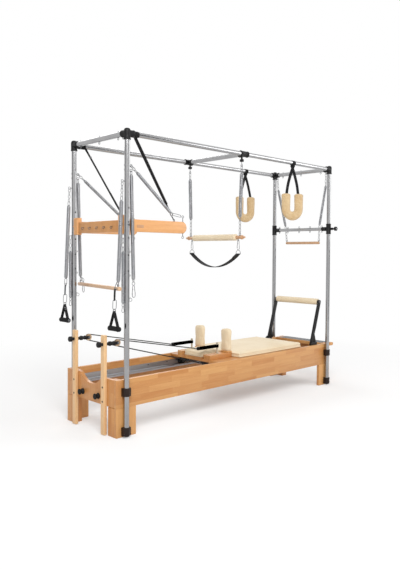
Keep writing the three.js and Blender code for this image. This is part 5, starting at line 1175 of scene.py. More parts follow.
def inflated(name, bm, travel, cell):
    """A cushion's cover blown up by its filling, held still where it meets what carries it."""
    bmesh.ops.scale(bm, vec=(MM, MM, MM), verts=bm.verts)
    mesh = bpy.data.meshes.new(name)
    bm.to_mesh(mesh)
    bm.free()
    made = bpy.data.objects.new(name, mesh)
    scene.collection.objects.link(made)
    remesh = made.modifiers.new("cover", "REMESH")
    remesh.mode, remesh.voxel_size = "VOXEL", cell
    applied(made)
    before = [vert.co.copy() for vert in made.data.vertices]
    floor_z = min(place.z for place in before) + 0.004
    held = made.vertex_groups.new(name="held")
    held.add([i for i, place in enumerate(before) if place.z < floor_z], 1.0, "REPLACE")
    cloth = made.modifiers.new("filling", "CLOTH").settings
    cloth.use_pressure = True
    cloth.uniform_pressure_force = 4
    cloth.effector_weights.gravity = 0
    cloth.vertex_group_mass = "held"
    cloth.quality = 6
    cloth.tension_stiffness = cloth.compression_stiffness = 18
    cloth.bending_stiffness = 0.6
    cloth.air_damping = 2
    for step in range(1, 21):
        scene.frame_set(step)
    applied(made)
    scene.frame_set(1)
    for vert, place in zip(made.data.vertices, before):
        shift = vert.co - place
        if shift.length > travel:
            vert.co = place + shift.normalized() * travel
    return made


def applied(made):
    """The object's shape with its modifiers taken in."""
    shape = made.evaluated_get(bpy.context.evaluated_depsgraph_get())
    mesh = bpy.data.meshes.new_from_object(shape)
    made.modifiers.clear()
    made.data = mesh


def covered(made, material, body, nodes):
    """A cushion with its cover's finish and one subdivision, on its body."""
    smooth = made.modifiers.new("soft", "SUBSURF")
    smooth.levels = smooth.render_levels = 1
    applied(made)
    made.data.materials.clear()
    made.data.materials.append(material)
    made.data.polygons.foreach_set("use_smooth", [True] * len(made.data.polygons))
    settled(made, body, nodes)
    return made


def rounded_loop(half_x, half_y, corner, count=8):
    """Points of a rectangle with round corners, about its middle."""
    out = []
    for turn, sx, sy in ((0, 1, 1), (90, -1, 1), (180, -1, -1), (270, 1, -1)):
        out += arc((sx * (half_x - corner), sy * (half_y - corner)), corner, turn, turn + 90, count)
    return [*out, out[0]]


def nearest_on(made):
    """A function that gives the nearest point of a cushion's cover, in millimetres, and its normal there."""
    tree = BVHTree.FromObject(made, bpy.context.evaluated_depsgraph_get())

    def nearest(place):
        hit, normal = tree.find_nearest(place * MM)[:2]
        return hit / MM, normal

    return nearest


def seam_round(made, name, middle, half, corner, z, body):
    """A piped seam laid on a cushion's side, half sunk in the cover."""
    radius, sunk = 1.5, 0.4
    nearest = nearest_on(made)
    points = [at(x, y, 0) for x, y in rounded_loop(half.x, half.y, corner)]
    fine = [a.lerp(b, k / 5) for a, b in zip(points, points[1:]) for k in range(5)]
    line = []
    for point in fine:
        place, normal = nearest(at(middle.x + point.x, middle.y + point.y, z))
        line.append(place + normal * (radius * sunk))
    bm = bmesh.new()
    bent(bm, line, radius, 8, closed=True, smooth=False)
    finished(bm, name + "_piping", cream_leather, body)


def cushion(name, low, high, corner, body, node_name, cell, seams):
    """A leather cushion between two corners, with a piped seam at each share of its height."""
    crown, travel = 6, 0.006
    bm = cushion_shell(low, high, corner, crown)
    made = covered(inflated(name, bm, travel, cell), cream_leather, body, node_name)
    middle, half = (low + high) / 2, (high - low) / 2
    for i, share in enumerate(seams):
        z = low.z + (high.z - low.z) * share
        seam_round(made, name + "_" + str(i), middle, half, corner, z, body)


def headrest():
    cushion("headrest_cushion", at(-273, -113, 412), at(-75, 113, 459), 22, "headrest", "headrest", 0.0045,
            (0.14, 0.78))
    bm = bmesh.new()
    block(bm, at(-270, -110, 400.3), at(-78, 110, 412.5), 2, 2)
    finished(bm, "headrest_board", beech_lying, "headrest")


def shoulder_rest(name, side):
    """A tall rounded rest: an arched cushion on its board, its seams over the top, and its two pins."""
    y, low, top = side * REST_Y, 452, 640
    body, fillet = "shoulder_" + name, 27
    bm = bmesh.new()
    crown = [*arc((17, top - fillet), 26, 0, 90, 12), *arc((-17, top - fillet), 26, 90, 180, 12)]
    outline(bm, [(43, low), *crown, (-43, low)], 53, Matrix.Translation((REST_X - 26.5, y, 0)) @ IN_YZ, 13, 5,
            40)
    made = inflated("shoulder_rest_cushion_" + name, bm, 0.005, 0.0042)
    covered(made, cream_leather, body, "shoulder_rest_" + name)
    nearest = nearest_on(made)
    rise = [low + 4 + 12 * k for k in range(13)]
    over = [*arc((17, top - fillet), fillet, 0, 90, 13), *arc((-17, top - fillet), fillet, 90, 180, 13)]
    route = [*[(44, z) for z in rise], *over, *[(-44, z) for z in rise[::-1]]]
    for i, x in enumerate((REST_X - 19, REST_X + 19)):
        line = []
        for py, pz in route:
            place, normal = nearest(at(x, y + py, pz))
            line.append(place + normal * 0.5)
        bm = bmesh.new()
        bent(bm, line, 1.4, 8, smooth=False)
        finished(bm, "shoulder_rest_piping_" + name + str(i), cream_leather, body)
    bm = bmesh.new()
    block(bm, at(REST_X - 26, y - 42, 440.4), at(REST_X + 26, y + 42, 453), 2.5, 3)
    finished(bm, "shoulder_rest_board_" + name, beech_across, body)
    bm = bmesh.new()
    for dy in (-22, 22):
        rod(bm, at(REST_X, y + dy, 410.5), at(REST_X, y + dy, 441), 6, 1, 20)
    finished(bm, "shoulder_rest_pins_" + name, bright_wire, body)


carriage()
wheels("front", FRONT_AXLE)
wheels("rear", REAR_AXLE)
cushion("carriage_cushion", at(0, -287, 400.3), at(867, 287, 439), 20, "carriage", "carriage_pad", 0.006,
        (0.16, 0.84))
headrest()
for side_name, side in SIDES:
    shoulder_rest(side_name, side)


# ---- Pulleys ----

def fork(name, side):
    y = side * RISER_Y
    bm = bmesh.new()
    knob = [(0, 0), (18.5, 0), (20, 1.8), (20, 17), (18, 20.5), (12, 22), (0, 22)]
    turned(bm, knob, at(-1323, y, PULLEY_Z), -X, 40)
    rod(bm, at(-1324, y, PULLEY_Z), at(-1276, y, PULLEY_Z), 11, 0.6, 28)
    neck = [(0, 0), (15, 0), (16.4, 2), (16.4, 6), (13, 9), (10.5, 13), (10.5, 20), (14, 25), (16.6, 31),
            (17, 37), (16.6, 43), (14, 49), (12.4, 53), (12.4, 60), (15, 64), (15.6, 69), (13, 71.5),
            (0, 71.5)]
    turned(bm, neck, at(-1277.5, y, PULLEY_Z), X, 40)
    cheek = [(-1212, -13), *arc((PULLEY_X, 0), 11, -70, 70, 12), (-1212, 13)]
    for way in BOTH:
        low = 8.2 if way > 0 else -12
        outline(bm, cheek, 3.8, Matrix.Translation((0, y + low, PULLEY_Z)) @ IN_XZ, 1, 2)
    finished(bm, "fork_body_" + name, black_plastic, "fork_" + name, "pulley_fork_" + name)
    bm = bmesh.new()
    rod(bm, at(PULLEY_X, y - 12.6, PULLEY_Z), at(PULLEY_X, y + 12.6, PULLEY_Z), 4, 0.8, 20)
    for way in BOTH:
        washer(bm, at(PULLEY_X, y + way * 12, PULLEY_Z), Y * way, 6.5, 2)
    finished(bm, "fork_pin_" + name, bright_wire, "fork_" + name)
    bm = bmesh.new()
    groove = [(4.3, -7), (8, -7), (9, -6), (20, -6), (22, -7), (25, -7), (25, -5.8), (21.5, -3), (20.3, 0),
            (21.5, 3), (25, 5.8), (25, 7), (22, 7), (20, 6), (9, 6), (8, 7), (4.3, 7), (4.3, -7)]
    turned(bm, groove, at(PULLEY_X, y, PULLEY_Z), Y, 48)
    finished(bm, "pulley_rim_" + name, wheel_nylon, "pulley_" + name, "pulley_wheel_" + name)


for side_name, side in SIDES:
    fork(side_name, side)


# ---- Footbar ----

SEAM_PITCH = 4.1


def cover_stitch(bm, place, out):
    """One stitch of the seam along a cover, raised a little over the leather."""
    lift, half = out * 0.4, Y * 1.3
    bent(bm, [place - half - lift, place + lift, place + half - lift], 0.4, 4, smooth=False)


def footbar():
    pivot, axis, hub_y = (1047, 405), (1167, 810), 256
    along = Vector((axis[0] - pivot[0], axis[1] - pivot[1])).normalized()
    lead = 180 / pi * atan2(along.y, along.x)
    bm, bolts = bmesh.new(), bmesh.new()
    for side in BOTH:
        low = 258 if side > 0 else -276
        top = arc(axis, 19, lead + 75, lead - 75, 16)
        hub = arc(pivot, 24, lead - 100, lead - 250, 20)
        spine = [(1110, 560), (1096, 526), (1088, 500)]
        heel = [(1107, 440), (1107, 425.6), (1089, 425.6), (1070, 436)]
        outline(bm, [*top, *spine, *heel, *hub], 18, upright(low), 2.5, 3, 25)
        screw(bolts, at(axis[0], side * 276, axis[1]), Y * side, 8, 4.5)
        washer(bolts, at(axis[0], side * 276, axis[1]), Y * side, 13, 1.6)
        washer(bolts, at(pivot[0] + 30, side * 276, pivot[1] + 104), Y * side, 6, 1.6)
    rod(bm, at(axis[0], -274, axis[1]), at(axis[0], 274, axis[1]), 9.8, 1, 28)
    for side in BOTH:
        turned(bm, [(10, 0), (17, 0), (18, 1), (18, 4.6), (10, 4.6)], at(axis[0], side * 252.7, axis[1]),
                Y * side, 32)
    finished(bm, "footbar_arms", black_paint, "footbar", "footbar_frame")
    finished(bolts, "footbar_bolts", bright_wire, "footbar")
    bm, bolts = bmesh.new(), bmesh.new()
    for side in BOTH:
        low = 278 if side > 0 else -WALL_Y
        plate = [(1018, 360), (1110, 360), (1110, 425), (1076, 425), *arc(pivot, 27, 45, 135, 10),
                (1018, 420)]
        outline(bm, plate, 10.7, upright(low), 2, 3)
        low, high = sorted((side * 258.2, side * 279))
        block(bm, at(1086, low, 413), at(1110, high, 425), 1.5, 2)
        rod(bm, at(pivot[0], side * hub_y, pivot[1]), at(pivot[0], side * 280, pivot[1]), 8, 0.8, 24)
        for x, z in ((1034, 374), (1094, 374)):
            screw(bolts, at(x, side * 278, z), -Y * side, 4.5, 2.4)
        washer(bolts, at(pivot[0], side * (hub_y + 1.5), pivot[1]), -Y * side, 12, 2.4)
    finished(bm, "footbar_plates", black_paint, "frame", "footbar_base")
    finished(bolts, "footbar_plate_bolts", bright_wire, "frame")
    bm = bmesh.new()
    roll = [(10.4, 0), (26, 0), (28.6, 1.2), (30, 4), (30.2, 60), (30.4, 252), (30.2, 444), (30, 500),
            (28.6, 503.8), (26, 505), (10.4, 505), (10.4, 0)]
    turned(bm, roll, at(axis[0], -252.5, axis[1]), Y, 56)
    made = finished(bm, "footbar_cover", cover_leather, "footbar_roller", "footbar_roller")
    bm = bmesh.new()
    for y in (-247.5, 247.5):
        link(bm, at(axis[0], y, axis[1]), Y, 29.6, 0.9, count=56)
    angle = pi + 0.35
    out = at(cos(angle), 0, sin(angle))
    for k in range(-60, 60):
        y = k * SEAM_PITCH + 2
        cover_stitch(bm, at(axis[0] + 30.3 * cos(angle), y, axis[1] + 30.3 * sin(angle)), out)
    finished(bm, "footbar_cover_thread", thread, "footbar_roller")


footbar()


# ---- Push-through bar ----

def push_bar():
    """The hinged wooden frame: a long board between two blocks, with an arm at each end."""
    bm = bmesh.new()
    block(bm, at(-POST_X - 14, -258, 1425), at(-POST_X + 14, 258, 1508), 4, 4)
    finished(bm, "push_board", beech_end, "push_bar", "push_bar")
    bm, dots = bmesh.new(), bmesh.new()
    for side in BOTH:
        low, high = sorted((side * 257, side * 316))
        block(bm, at(-POST_X - 20, low, 1413), at(-POST_X + 20, high, 1543), 7, 5)
        inner = 288 if side > 0 else -316
        tip = arc((-677, PUSH_Z), 44, -88, 88, 24)
        outline(bm, [(-1192, 1428), *tip, (-1192, 1516)], 28, upright(inner), 5, 4, 25)
        for x, z in ((-651, 1472), (-1190, 1520), (-1226, 1478)):
            washer(dots, at(x, side * 315.8, z), Y * side, 6.5, 0.8)
        if side < 0:
            block(dots, at(-1108, -316.4, 1455), at(-1043, -310, 1480), 5, 4)
    finished(bm, "push_arms", beech_arm, "push_bar")
    finished(dots, "push_plugs", beech_tip, "push_bar")
    bm = bmesh.new()
    for k in range(-2, 3):
        y = k * 92
        rod(bm, at(-POST_X - 12, y, 1466), at(-POST_X - 19, y, 1466), 3, 0.5, 14)
        link(bm, at(-POST_X - 25, y, 1459), Y, 8, 1.9)
    for side in BOTH:
        for z, way in ((1554, 1), (1399, -1)):
            eye_bolt(bm, at(-663, side * 302, PUSH_Z + way * 43), at(-663, side * 302, z), Y, 9, 2.1, 3)
            washer(bm, at(-663, side * 302, PUSH_Z + way * 42), Z * way, 8, 2.4)
        eye_bolt(bm, at(-743, side * 302, 1514), at(-743, side * 294, 1525), Y, 7, 1.9, 2.6)
        washer(bm, at(-743, side * 302, 1515), Z, 7, 2)
        washer(bm, at(-POST_X, side * 316, PUSH_Z), Y * side, 10, 2.6)
    finished(bm, "push_hardware", bright_wire, "push_bar")


def push_spring(name, side):
    top, first = at(-1171.9, side * 337.9, 1878.3), at(-1123.3, side * 334.8, 1839.8)
    last, low = at(-792, side * 314, 1577), at(-665.7, side * 302.3, 1554.5)
    bm = bmesh.new()
    coil(bm, first, last, 12, 1.8, 16)
    coils = meshed(bm, "push_spring_coil_" + name, worn_wire, tidy=False)
    spanning(coils, "push_spring_" + name)
    bm = bmesh.new()
    chain(bm, top - (first - top).normalized() * 6, first + (last - first).normalized() * 3, 3, Z, 9.1, 2.2)
    ring = last + (last - first).normalized() * 12
    link(bm, ring, Y, 11, 1.9)
    hook_end = ring + (low - ring) * 0.86
    chain(bm, ring + (low - ring).normalized() * 8, hook_end, 1, Y, 8.1, 2.1)
    link(bm, hook_end + (low - ring).normalized() * 3, Z, 7, 1.9)
    spanning(meshed(bm, "push_spring_links_" + name, bright_wire))


def choke(bm, x, side, wide, inner, thick, low_turn, high_turn):
    """A strap's turn about a rail, from below one side, over the top and back."""
    radius = inner + thick / 2
    turns = [radians(low_turn + (high_turn - low_turn) * i / 32) for i in range(33)]
    points = [at(x, side * POST_Y + radius * cos(turn), RAIL_Z + radius * sin(turn)) for turn in turns]
    ribbon(bm, points, wide, thick, X, 5)


def push_strap(name, side):
    """The safety strap: choked round the rail, wide at the top and drawn narrow towards its ring."""
    start, end = at(-1132, side * 316.2, RAIL_Z), at(-798, side * 297.1, 1606.2)
    link_end, tail_end, last = (at(-764.4, side * 295.2, 1556.5), at(-748.7, side * 294.3, 1533.4),
            at(-743.6, side * 294, 1525.8))
    bm = bmesh.new()
    choke(bm, -1132, side, 32, 20.3, 3, -90, 250)
    along = (end - start).normalized()
    shares = [0, 0.05, 0.12, 0.25, 0.4, 0.55, 0.7, 0.8, 0.88, 0.94, 1]
    line = [start.lerp(end, share) for share in shares]
    widths = [32, 35, 36, 36, 35, 34, 33, 31, 27, 21, 16]
    if side > 0:
        widths = [32, 27, 23, 22, 22, 22, 23, 24, 24, 20, 13]
    ribbon(bm, line, widths, 3, Y, 6, 0.6)
    ribbon(bm, [start.lerp(end, share) + Z * 3.4 for share in (0.7, 0.76, 0.82, 0.88, 0.93)],
            [widths[6] * 0.9] * 5, 2.6, Y, 4)
    tail = [link_end + (tail_end - link_end) * share for share in (0, 0.35, 0.7, 1)]
    ribbon(bm, tail, 10, 3, Y, 4)
    spanning(meshed(bm, "push_strap_band_" + name, strap_wide, smooth=50),
            "push_strap_" + name)
    bm = bmesh.new()
    for share in (0.72, 0.86):
        middle = start.lerp(end, share)
        half = widths[7] * 0.4
        stitches(bm, [middle + at(0, -half, 6.2), middle + at(0, half, 6.2)], Z, 3.6, 2.4, 0.4)
    spanning(meshed(bm, "push_strap_thread_" + name, black_thread))
    bm = bmesh.new()
    chain(bm, end - along * 4, link_end + (link_end - end).normalized() * 4, 2, Z, 9.1, 2.1)
    chain(bm, tail_end - along * 2, last + along * 6, 1, Y, 6.8, 1.9)
    if side > 0:
        turned(bm, [(2, -6), (8, -6), (10, -3), (10, 3), (8, 6), (2, 6), (2, -6)], start.lerp(end, 0.16),
                along, 24)
    spanning(meshed(bm, "push_strap_links_" + name, bright_wire))


# ---- Springs, straps and handles of the head posts ----

def arm_x(z):
    return -1248 - 0.046 * (1766 - z)


def side_x(z):
    return -1174 + 0.03 * (1844 - z)


def arm_place(z, side, shift=0.0):
    return at(arm_x(z) + shift, side * POST_Y, z)


def side_place(z, side, shift=0.0):
    return at(side_x(z) + shift, side * POST_Y, z)


def arm_spring(name, side):
    """The spring of a hand loop: three links, a ring, the coil, a short strap and a long pear link."""
    body = "frame" if side < 0 else "arm_spring_far"
    shift = -23 if side < 0 else 0
    bm = bmesh.new()
    coil(bm, arm_place(1640, side), arm_place(1080, side), 14, 1.9, 16)
    finished(bm, "arm_spring_coil_" + name, worn_wire, body, "arm_spring_" + name, tidy=False)
    bm = bmesh.new()
    chain(bm, arm_place(1766, side), arm_place(1690, side), 3, Y, 8, 2)
    link(bm, arm_place(1676, side), X, 11.5, 1.8)
    chain(bm, arm_place(1668, side), arm_place(1636, side), 1, Y, 8.6, 2.1)
    chain(bm, arm_place(1084, side), arm_place(1030, side, shift), 1, Y, 9.6, 2.1)
    link(bm, arm_place(1036, side, shift), X, 10.5, 1.7, 0, Z)
    chain(bm, arm_place(966, side, shift), arm_place(893, side, shift), 1, Y, 14.6, 2.2)
    if side < 0:
        chain(bm, at(arm_x(1082) - 4, -POST_Y, 1084), at(arm_x(1061) - 4, -POST_Y, 1057), 1, X, 9.1, 2.1)
    finished(bm, "arm_spring_links_" + name, bright_wire, body)
    bm = bmesh.new()
    line = [arm_place(z, side, shift) for z in (1036, 1028, 1010, 990, 972, 960)]
    ribbon(bm, line, [17, 21, 22, 22, 21, 17], 5.4, Y, 5)
    finished(bm, "arm_spring_strap_" + name, strap_small if side < 0 else strap_grey, body, smooth=50)
    bm = bmesh.new()
    for z in (1022, 1018, 974):
        for way in BOTH:
            ends = [arm_place(z, side, shift) + at(way * 2.8, y, 0) for y in (-8, 8)]
            stitches(bm, ends, X * way, 3.2, 2.2, 0.35)
    finished(bm, "arm_spring_thread_" + name, black_thread, body)


def side_spring(name, side):
    """The long spring beside a head post, with its ring and pear-shaped carabiner."""
    body = "side_spring_near" if side < 0 else "frame"
    shift = 0 if side < 0 else 23
    normal = Y if side < 0 else X
    bm = bmesh.new()
    coil(bm, side_place(1820, side), side_place(1092, side), 14, 1.9, 16)
    finished(bm, "side_spring_coil_" + name, worn_wire, body, "side_spring_" + name, tidy=False)
    bm = bmesh.new()
    chain(bm, side_place(1846, side), side_place(1816, side), 1, X, 9.1, 2.1)
    chain(bm, side_place(1096, side), side_place(1078, side, shift * 0.7), 1, X, 8.1, 2)
    link(bm, side_place(1066, side, shift), normal, 12, 1.9)
    carabiner(bm, side_place(1054, side, shift), side_place(968, side, shift), normal, 8, 12.5, 2.2)
    if side > 0:
        chain(bm, side_place(1096, side) + at(3, 0, 0), side_place(1057, side) + at(3, 0, 0), 1, X, 9.1, 2.1)
    finished(bm, "side_spring_links_" + name, bright_wire, body)


def carabiner(bm, top, bottom, normal, narrow, broad, wire):
    """A pear-shaped snap hook with its gate and the gate's two knuckles."""
    run = bottom - top
    along = run.normalized()
    out = normal.cross(along).normalized()
    tall = run.length

    def place(down, sideways):
        return top + along * down + out * sideways

    loop = [place(wire, 0), place(wire * 2.2, narrow * 0.8), place(tall * 0.3, narrow * 1.05),
            place(tall * 0.7, broad), place(tall * 0.9, broad * 0.75), place(tall - wire, 0),
            place(tall * 0.9, -broad * 0.75), place(tall * 0.7, -broad), place(tall * 0.3, -narrow * 1.05),
            place(wire * 2.2, -narrow * 0.8)]
    bent(bm, loop, wire, 10, closed=True)
    rod(bm, place(tall * 0.26, narrow * 1.02), place(tall * 0.34, narrow * 1.1), wire * 1.5, 0.5, 14)
    rod(bm, place(tall * 0.66, broad * 0.98), place(tall * 0.72, broad), wire * 1.5, 0.5, 14)


def handle(name, side):
    """A hand loop: a ring, two straps spreading to a fat grip, and on the far one a buckle."""
    body = "handle_" + name
    x = arm_x(893) + (-23 if side < 0 else 0)
    y, grip_z = side * POST_Y, 766
    bm = bmesh.new()
    link(bm, at(x, y, 889.8), Y, 9.5, 2.4)
    finished(bm, "handle_ring_" + name, bright_wire, body, "arm_handle_" + name)
    bm = bmesh.new()
    for way in BOTH:
        spread_out = ((1, 884), (9, 868), (24, 832), (40, 794), (51, 768), (52, 752))
        line = [at(x + 1.6 * way, y + way * out, z) for out, z in spread_out]
        ribbon(bm, eased(line, 3), 24, 3.2, X, 5)
    turns = [pi * i / 8 for i in range(9)]
    loop_over = [at(x, y + 3.4 * cos(turn) * 1.2, 884 + 4.4 * sin(turn)) for turn in turns]
    ribbon(bm, loop_over, 20, 3, X, 4)
    finished(bm, "handle_strap_" + name, strap_small, body, smooth=50)
    bm = bmesh.new()
    grip = [(0, 0), (6, 0), (14, 0.6), (17, 3.5), (17.6, 18), (17.2, 60), (17.6, 102), (17, 116.5),
            (14, 119.4), (6, 120), (0, 120)]
    turned(bm, grip, at(x, y - 60, grip_z), Y, 36)
    finished(bm, "handle_grip_" + name, grip_foam, body)
    bm = bmesh.new()
    for way in BOTH:
        washer(bm, at(x, y + way * 59.6, grip_z), Y * way, 9.5, 1.4)
    if side > 0:
        block(bm, at(x - 12.5, y - 13, 858), at(x + 12.5, y - 9, 866), 1.2, 2)
        block(bm, at(x - 12.5, y - 18, 846), at(x + 12.5, y - 14.5, 853), 1.2, 2)
    finished(bm, "handle_caps_" + name, bright_wire if side > 0 else black_plastic, body)
    bm = bmesh.new()
    for way in BOTH:
        for z in (866, 872):
            sewn_y = y + way * (10 + (872 - z) * 0.4) + way * 3
            stitches(bm, [at(x - 9, sewn_y, z), at(x + 9, sewn_y, z)], Y * way, 3.4, 2.4, 0.35)
    finished(bm, "handle_thread_" + name, black_thread, body)


def inner_spring(name, side):
    """The short spring inside a head post, with its four links, end link and small carabiner."""
    body = "inner_spring_" + name

    def place(z):
        return at(-1240, side * POST_Y, z)

    bm = bmesh.new()
    coil(bm, place(1290), place(930), 12, 1.7, 16)
    finished(bm, "inner_spring_coil_" + name, worn_wire, body, "inner_spring_" + name, tidy=False)
    bm = bmesh.new()
    chain(bm, place(1410), place(1286), 4, Y, 8.6, 2)
    chain(bm, place(934), place(908), 1, Y, 7.6, 1.9)
    carabiner(bm, place(914), place(870), Y, 6, 9.5, 1.8)
    finished(bm, "inner_spring_links_" + name, bright_wire, body)


def dowel():
    near, far = at(-1280.4, -POST_Y, 1036), at(-1150.5, POST_Y, 1036)
    along, run, past = (far - near).normalized(), (far - near).length, 30
    bm = bmesh.new()
    profile = [(0, 0), (11, 0), (13.4, 1.6), (14, 5), (14, run + 55), (13.4, run + 58.4), (11, run + 60),
            (0, run + 60)]
    turned(bm, profile, near - along * past, along, 40)
    finished(bm, "dowel_rod", beech_round, "dowel", "dowel_bar")
    bm = bmesh.new()
    for place in (near, far):
        eye_bolt(bm, place + Z * 13, place + Z * 23, Y, 6.4, 1.8, 2.4)
        washer(bm, place + Z * 13.4, Z, 6, 1.8)
    finished(bm, "dowel_eyes", bright_wire, "dowel")


push_bar()
dowel()
for side_name, side in SIDES:
    push_spring(side_name, side)
    push_strap(side_name, side)
    arm_spring(side_name, side)
    side_spring(side_name, side)
    handle(side_name, side)
    inner_spring(side_name, side)


# ---- Middle crossbar, trapeze and sling ----

def lobed(radius, depth, count, points=48):
    """The outline of a knob with lobes round it."""
    out = []
    for k in range(points):
        turn, reach = 2 * pi * k / points, radius + depth * cos(count * 2 * pi * k / points)
        out.append((reach * cos(turn), reach * sin(turn)))
    return out


def mid_crossbar():
    bm = bmesh.new()
    pipe(bm, at(MID_X, -313, RAIL_Z), at(MID_X, 313, RAIL_Z), TUBE, 2, 56)
    finished(bm, "mid_tube", steel, "mid_crossbar", "mid_crossbar")
    bm, bolts = bmesh.new(), bmesh.new()
    for side in BOTH:
        y = side * POST_Y
        sleeve = [(19.3, 0), (22, 0), (25.6, 1.6), (25.8, 5), (24, 8), (23.6, 44), (23.6, 80), (25.8, 83),
                (25.6, 86.4), (22, 88), (19.3, 88), (19.3, 0)]
        turned(bm, sleeve, at(MID_X - 44, y, RAIL_Z), X, 48)
        socket = [(19.2, 0), (24, 0), (24.6, 2), (24.6, 5), (23.2, 8), (23.2, 36), (25, 40), (25, 48),
                (19.2, 48), (19.2, 0)]
        turned(bm, socket, at(MID_X, side * 290, RAIL_Z), Y * side, 48)
        turned(bm, [(0, 0), (8, 0), (8, 9), (6.8, 16), (0, 16)], at(MID_X, side * HANG_Y, RAIL_Z - 24), -Z,
                24)
        knob = Matrix.Translation((MID_X, side * HANG_Y, RAIL_Z - 60.8))
        outline(bm, lobed(15.6, 1.6, 8), 20, knob, 2.6, 3, 50)
        for dx in (-32, 32):
            screw(bolts, at(MID_X + dx, y + side * 24, RAIL_Z), Y * side, 4, 2.2)
    finished(bm, "mid_fittings", black_plastic, "mid_crossbar")
    finished(bolts, "mid_fitting_screws", black_paint, "mid_crossbar")
    bm = bmesh.new()
    for side in BOTH:
        rod(bm, at(MID_X, side * HANG_Y, RAIL_Z - 60), at(MID_X, side * HANG_Y, RAIL_Z - 80), 2.8, 0.5, 16)
        washer(bm, at(MID_X, side * HANG_Y, RAIL_Z - 61), -Z, 7, 2)
        link(bm, at(MID_X, side * HANG_Y, RAIL_Z - 91), X, 9.6, 2.1)
    finished(bm, "mid_eyes", bright_wire, "mid_crossbar")


def oval_tube(bm, centres, normal, halves, count=28):
    """A stuffed tube along centres; each half pair is its reach in the plane and across it."""
    rows = len(centres) - 1
    shape = bmesh.new()
    bmesh.ops.create_grid(shape, x_segments=count, y_segments=rows, size=1)
    for vert in shape.verts:
        row = round((vert.co.y + 1) / 2 * rows)
        turn = pi * (vert.co.x + 1)
        ahead = (centres[min(row + 1, rows)] - centres[max(row - 1, 0)]).normalized()
        out = ahead.cross(normal).normalized()
        vert.co = centres[row] + out * halves[row][0] * cos(turn) + normal * halves[row][1] * sin(turn)
    bmesh.ops.remove_doubles(shape, verts=shape.verts, dist=0.02)
    bmesh.ops.holes_fill(shape, edges=[edge for edge in shape.edges if edge.is_boundary], sides=count + 2)
    placed_in(bm, shape, Matrix())


def trapeze():
    bm = bmesh.new()
    for side in BOTH:
        coil(bm, at(MID_X, side * HANG_Y, 1949), at(MID_X, side * BAR_Y, 1579), 16, 2.0, 18)
    finished(bm, "trapeze_coils", worn_wire, "trapeze", "trapeze_bar", tidy=False)
    bm = bmesh.new()
    for side in BOTH:
        chain(bm, at(MID_X, side * HANG_Y, 2010), at(MID_X, side * HANG_Y, 1944), 2, Y, 9.2, 2.2)
        chain(bm, at(MID_X, side * BAR_Y, 1584), at(MID_X, side * BAR_Y, 1425), 5, Y, 9, 2.2)
        for y, eye in ((BAR_Y, 12), (SLING_Y, -12)):
            root, ring = at(MID_X, side * y, BAR_Z + eye), at(MID_X, side * y, BAR_Z + 2 * eye)
            eye_bolt(bm, root, ring, X, 7.4, 1.8, 2.4)
            washer(bm, at(MID_X, side * y, BAR_Z + eye * 1.1), Z * (1 if eye > 0 else -1), 6, 1.8)
    finished(bm, "trapeze_links", bright_wire, "trapeze")
    bm = bmesh.new()
    bar = [(0, 0), (7.6, 0), (9, 1.4), (9, 19.4), (13.4, 20), (14, 21), (14, 695), (13.4, 696), (9, 696.6),
            (9, 714.6), (7.6, 716), (0, 716)]
    turned(bm, bar, at(MID_X, -358, BAR_Z), Y, 40)
    for side in BOTH:
        ring = [(13.6, 0), (16.6, 0), (18, 1.8), (18, 12.2), (16.6, 14), (13.6, 14), (13.6, 0)]
        turned(bm, ring, at(MID_X, side * 318, BAR_Z), Y * side, 36)
    finished(bm, "trapeze_rod", beech_tip, "trapeze")
    bm = bmesh.new()
    centres, halves = [], []
    for i in range(61):
        share = i / 60
        end = min(share, 1 - share) * 524
        reach = 27 if end > 10 else 14.3 + 12.7 * sqrt(max(1 - ((10 - end) / 10) ** 2, 0))
        wave = 0.35 * noise.noise(Vector((share * 9, 0, 0)))
        centres.append(at(MID_X, -262 + 524 * share, BAR_Z))
        halves.append((reach + wave, reach + wave))
    oval_tube(bm, centres, Z, halves, 44)
    made = finished(bm, "trapeze_cover", cover_leather, "trapeze", "trapeze_pad", smooth=70)
    bm = bmesh.new()
    for k in range(-62, 63):
        cover_stitch(bm, at(MID_X + 26.9, k * SEAM_PITCH, BAR_Z - 1), X)
    for y in (-256, 256):
        link(bm, at(MID_X, y, BAR_Z), Y, 26.4, 0.8, count=44)
    finished(bm, "trapeze_cover_thread", thread, "trapeze")


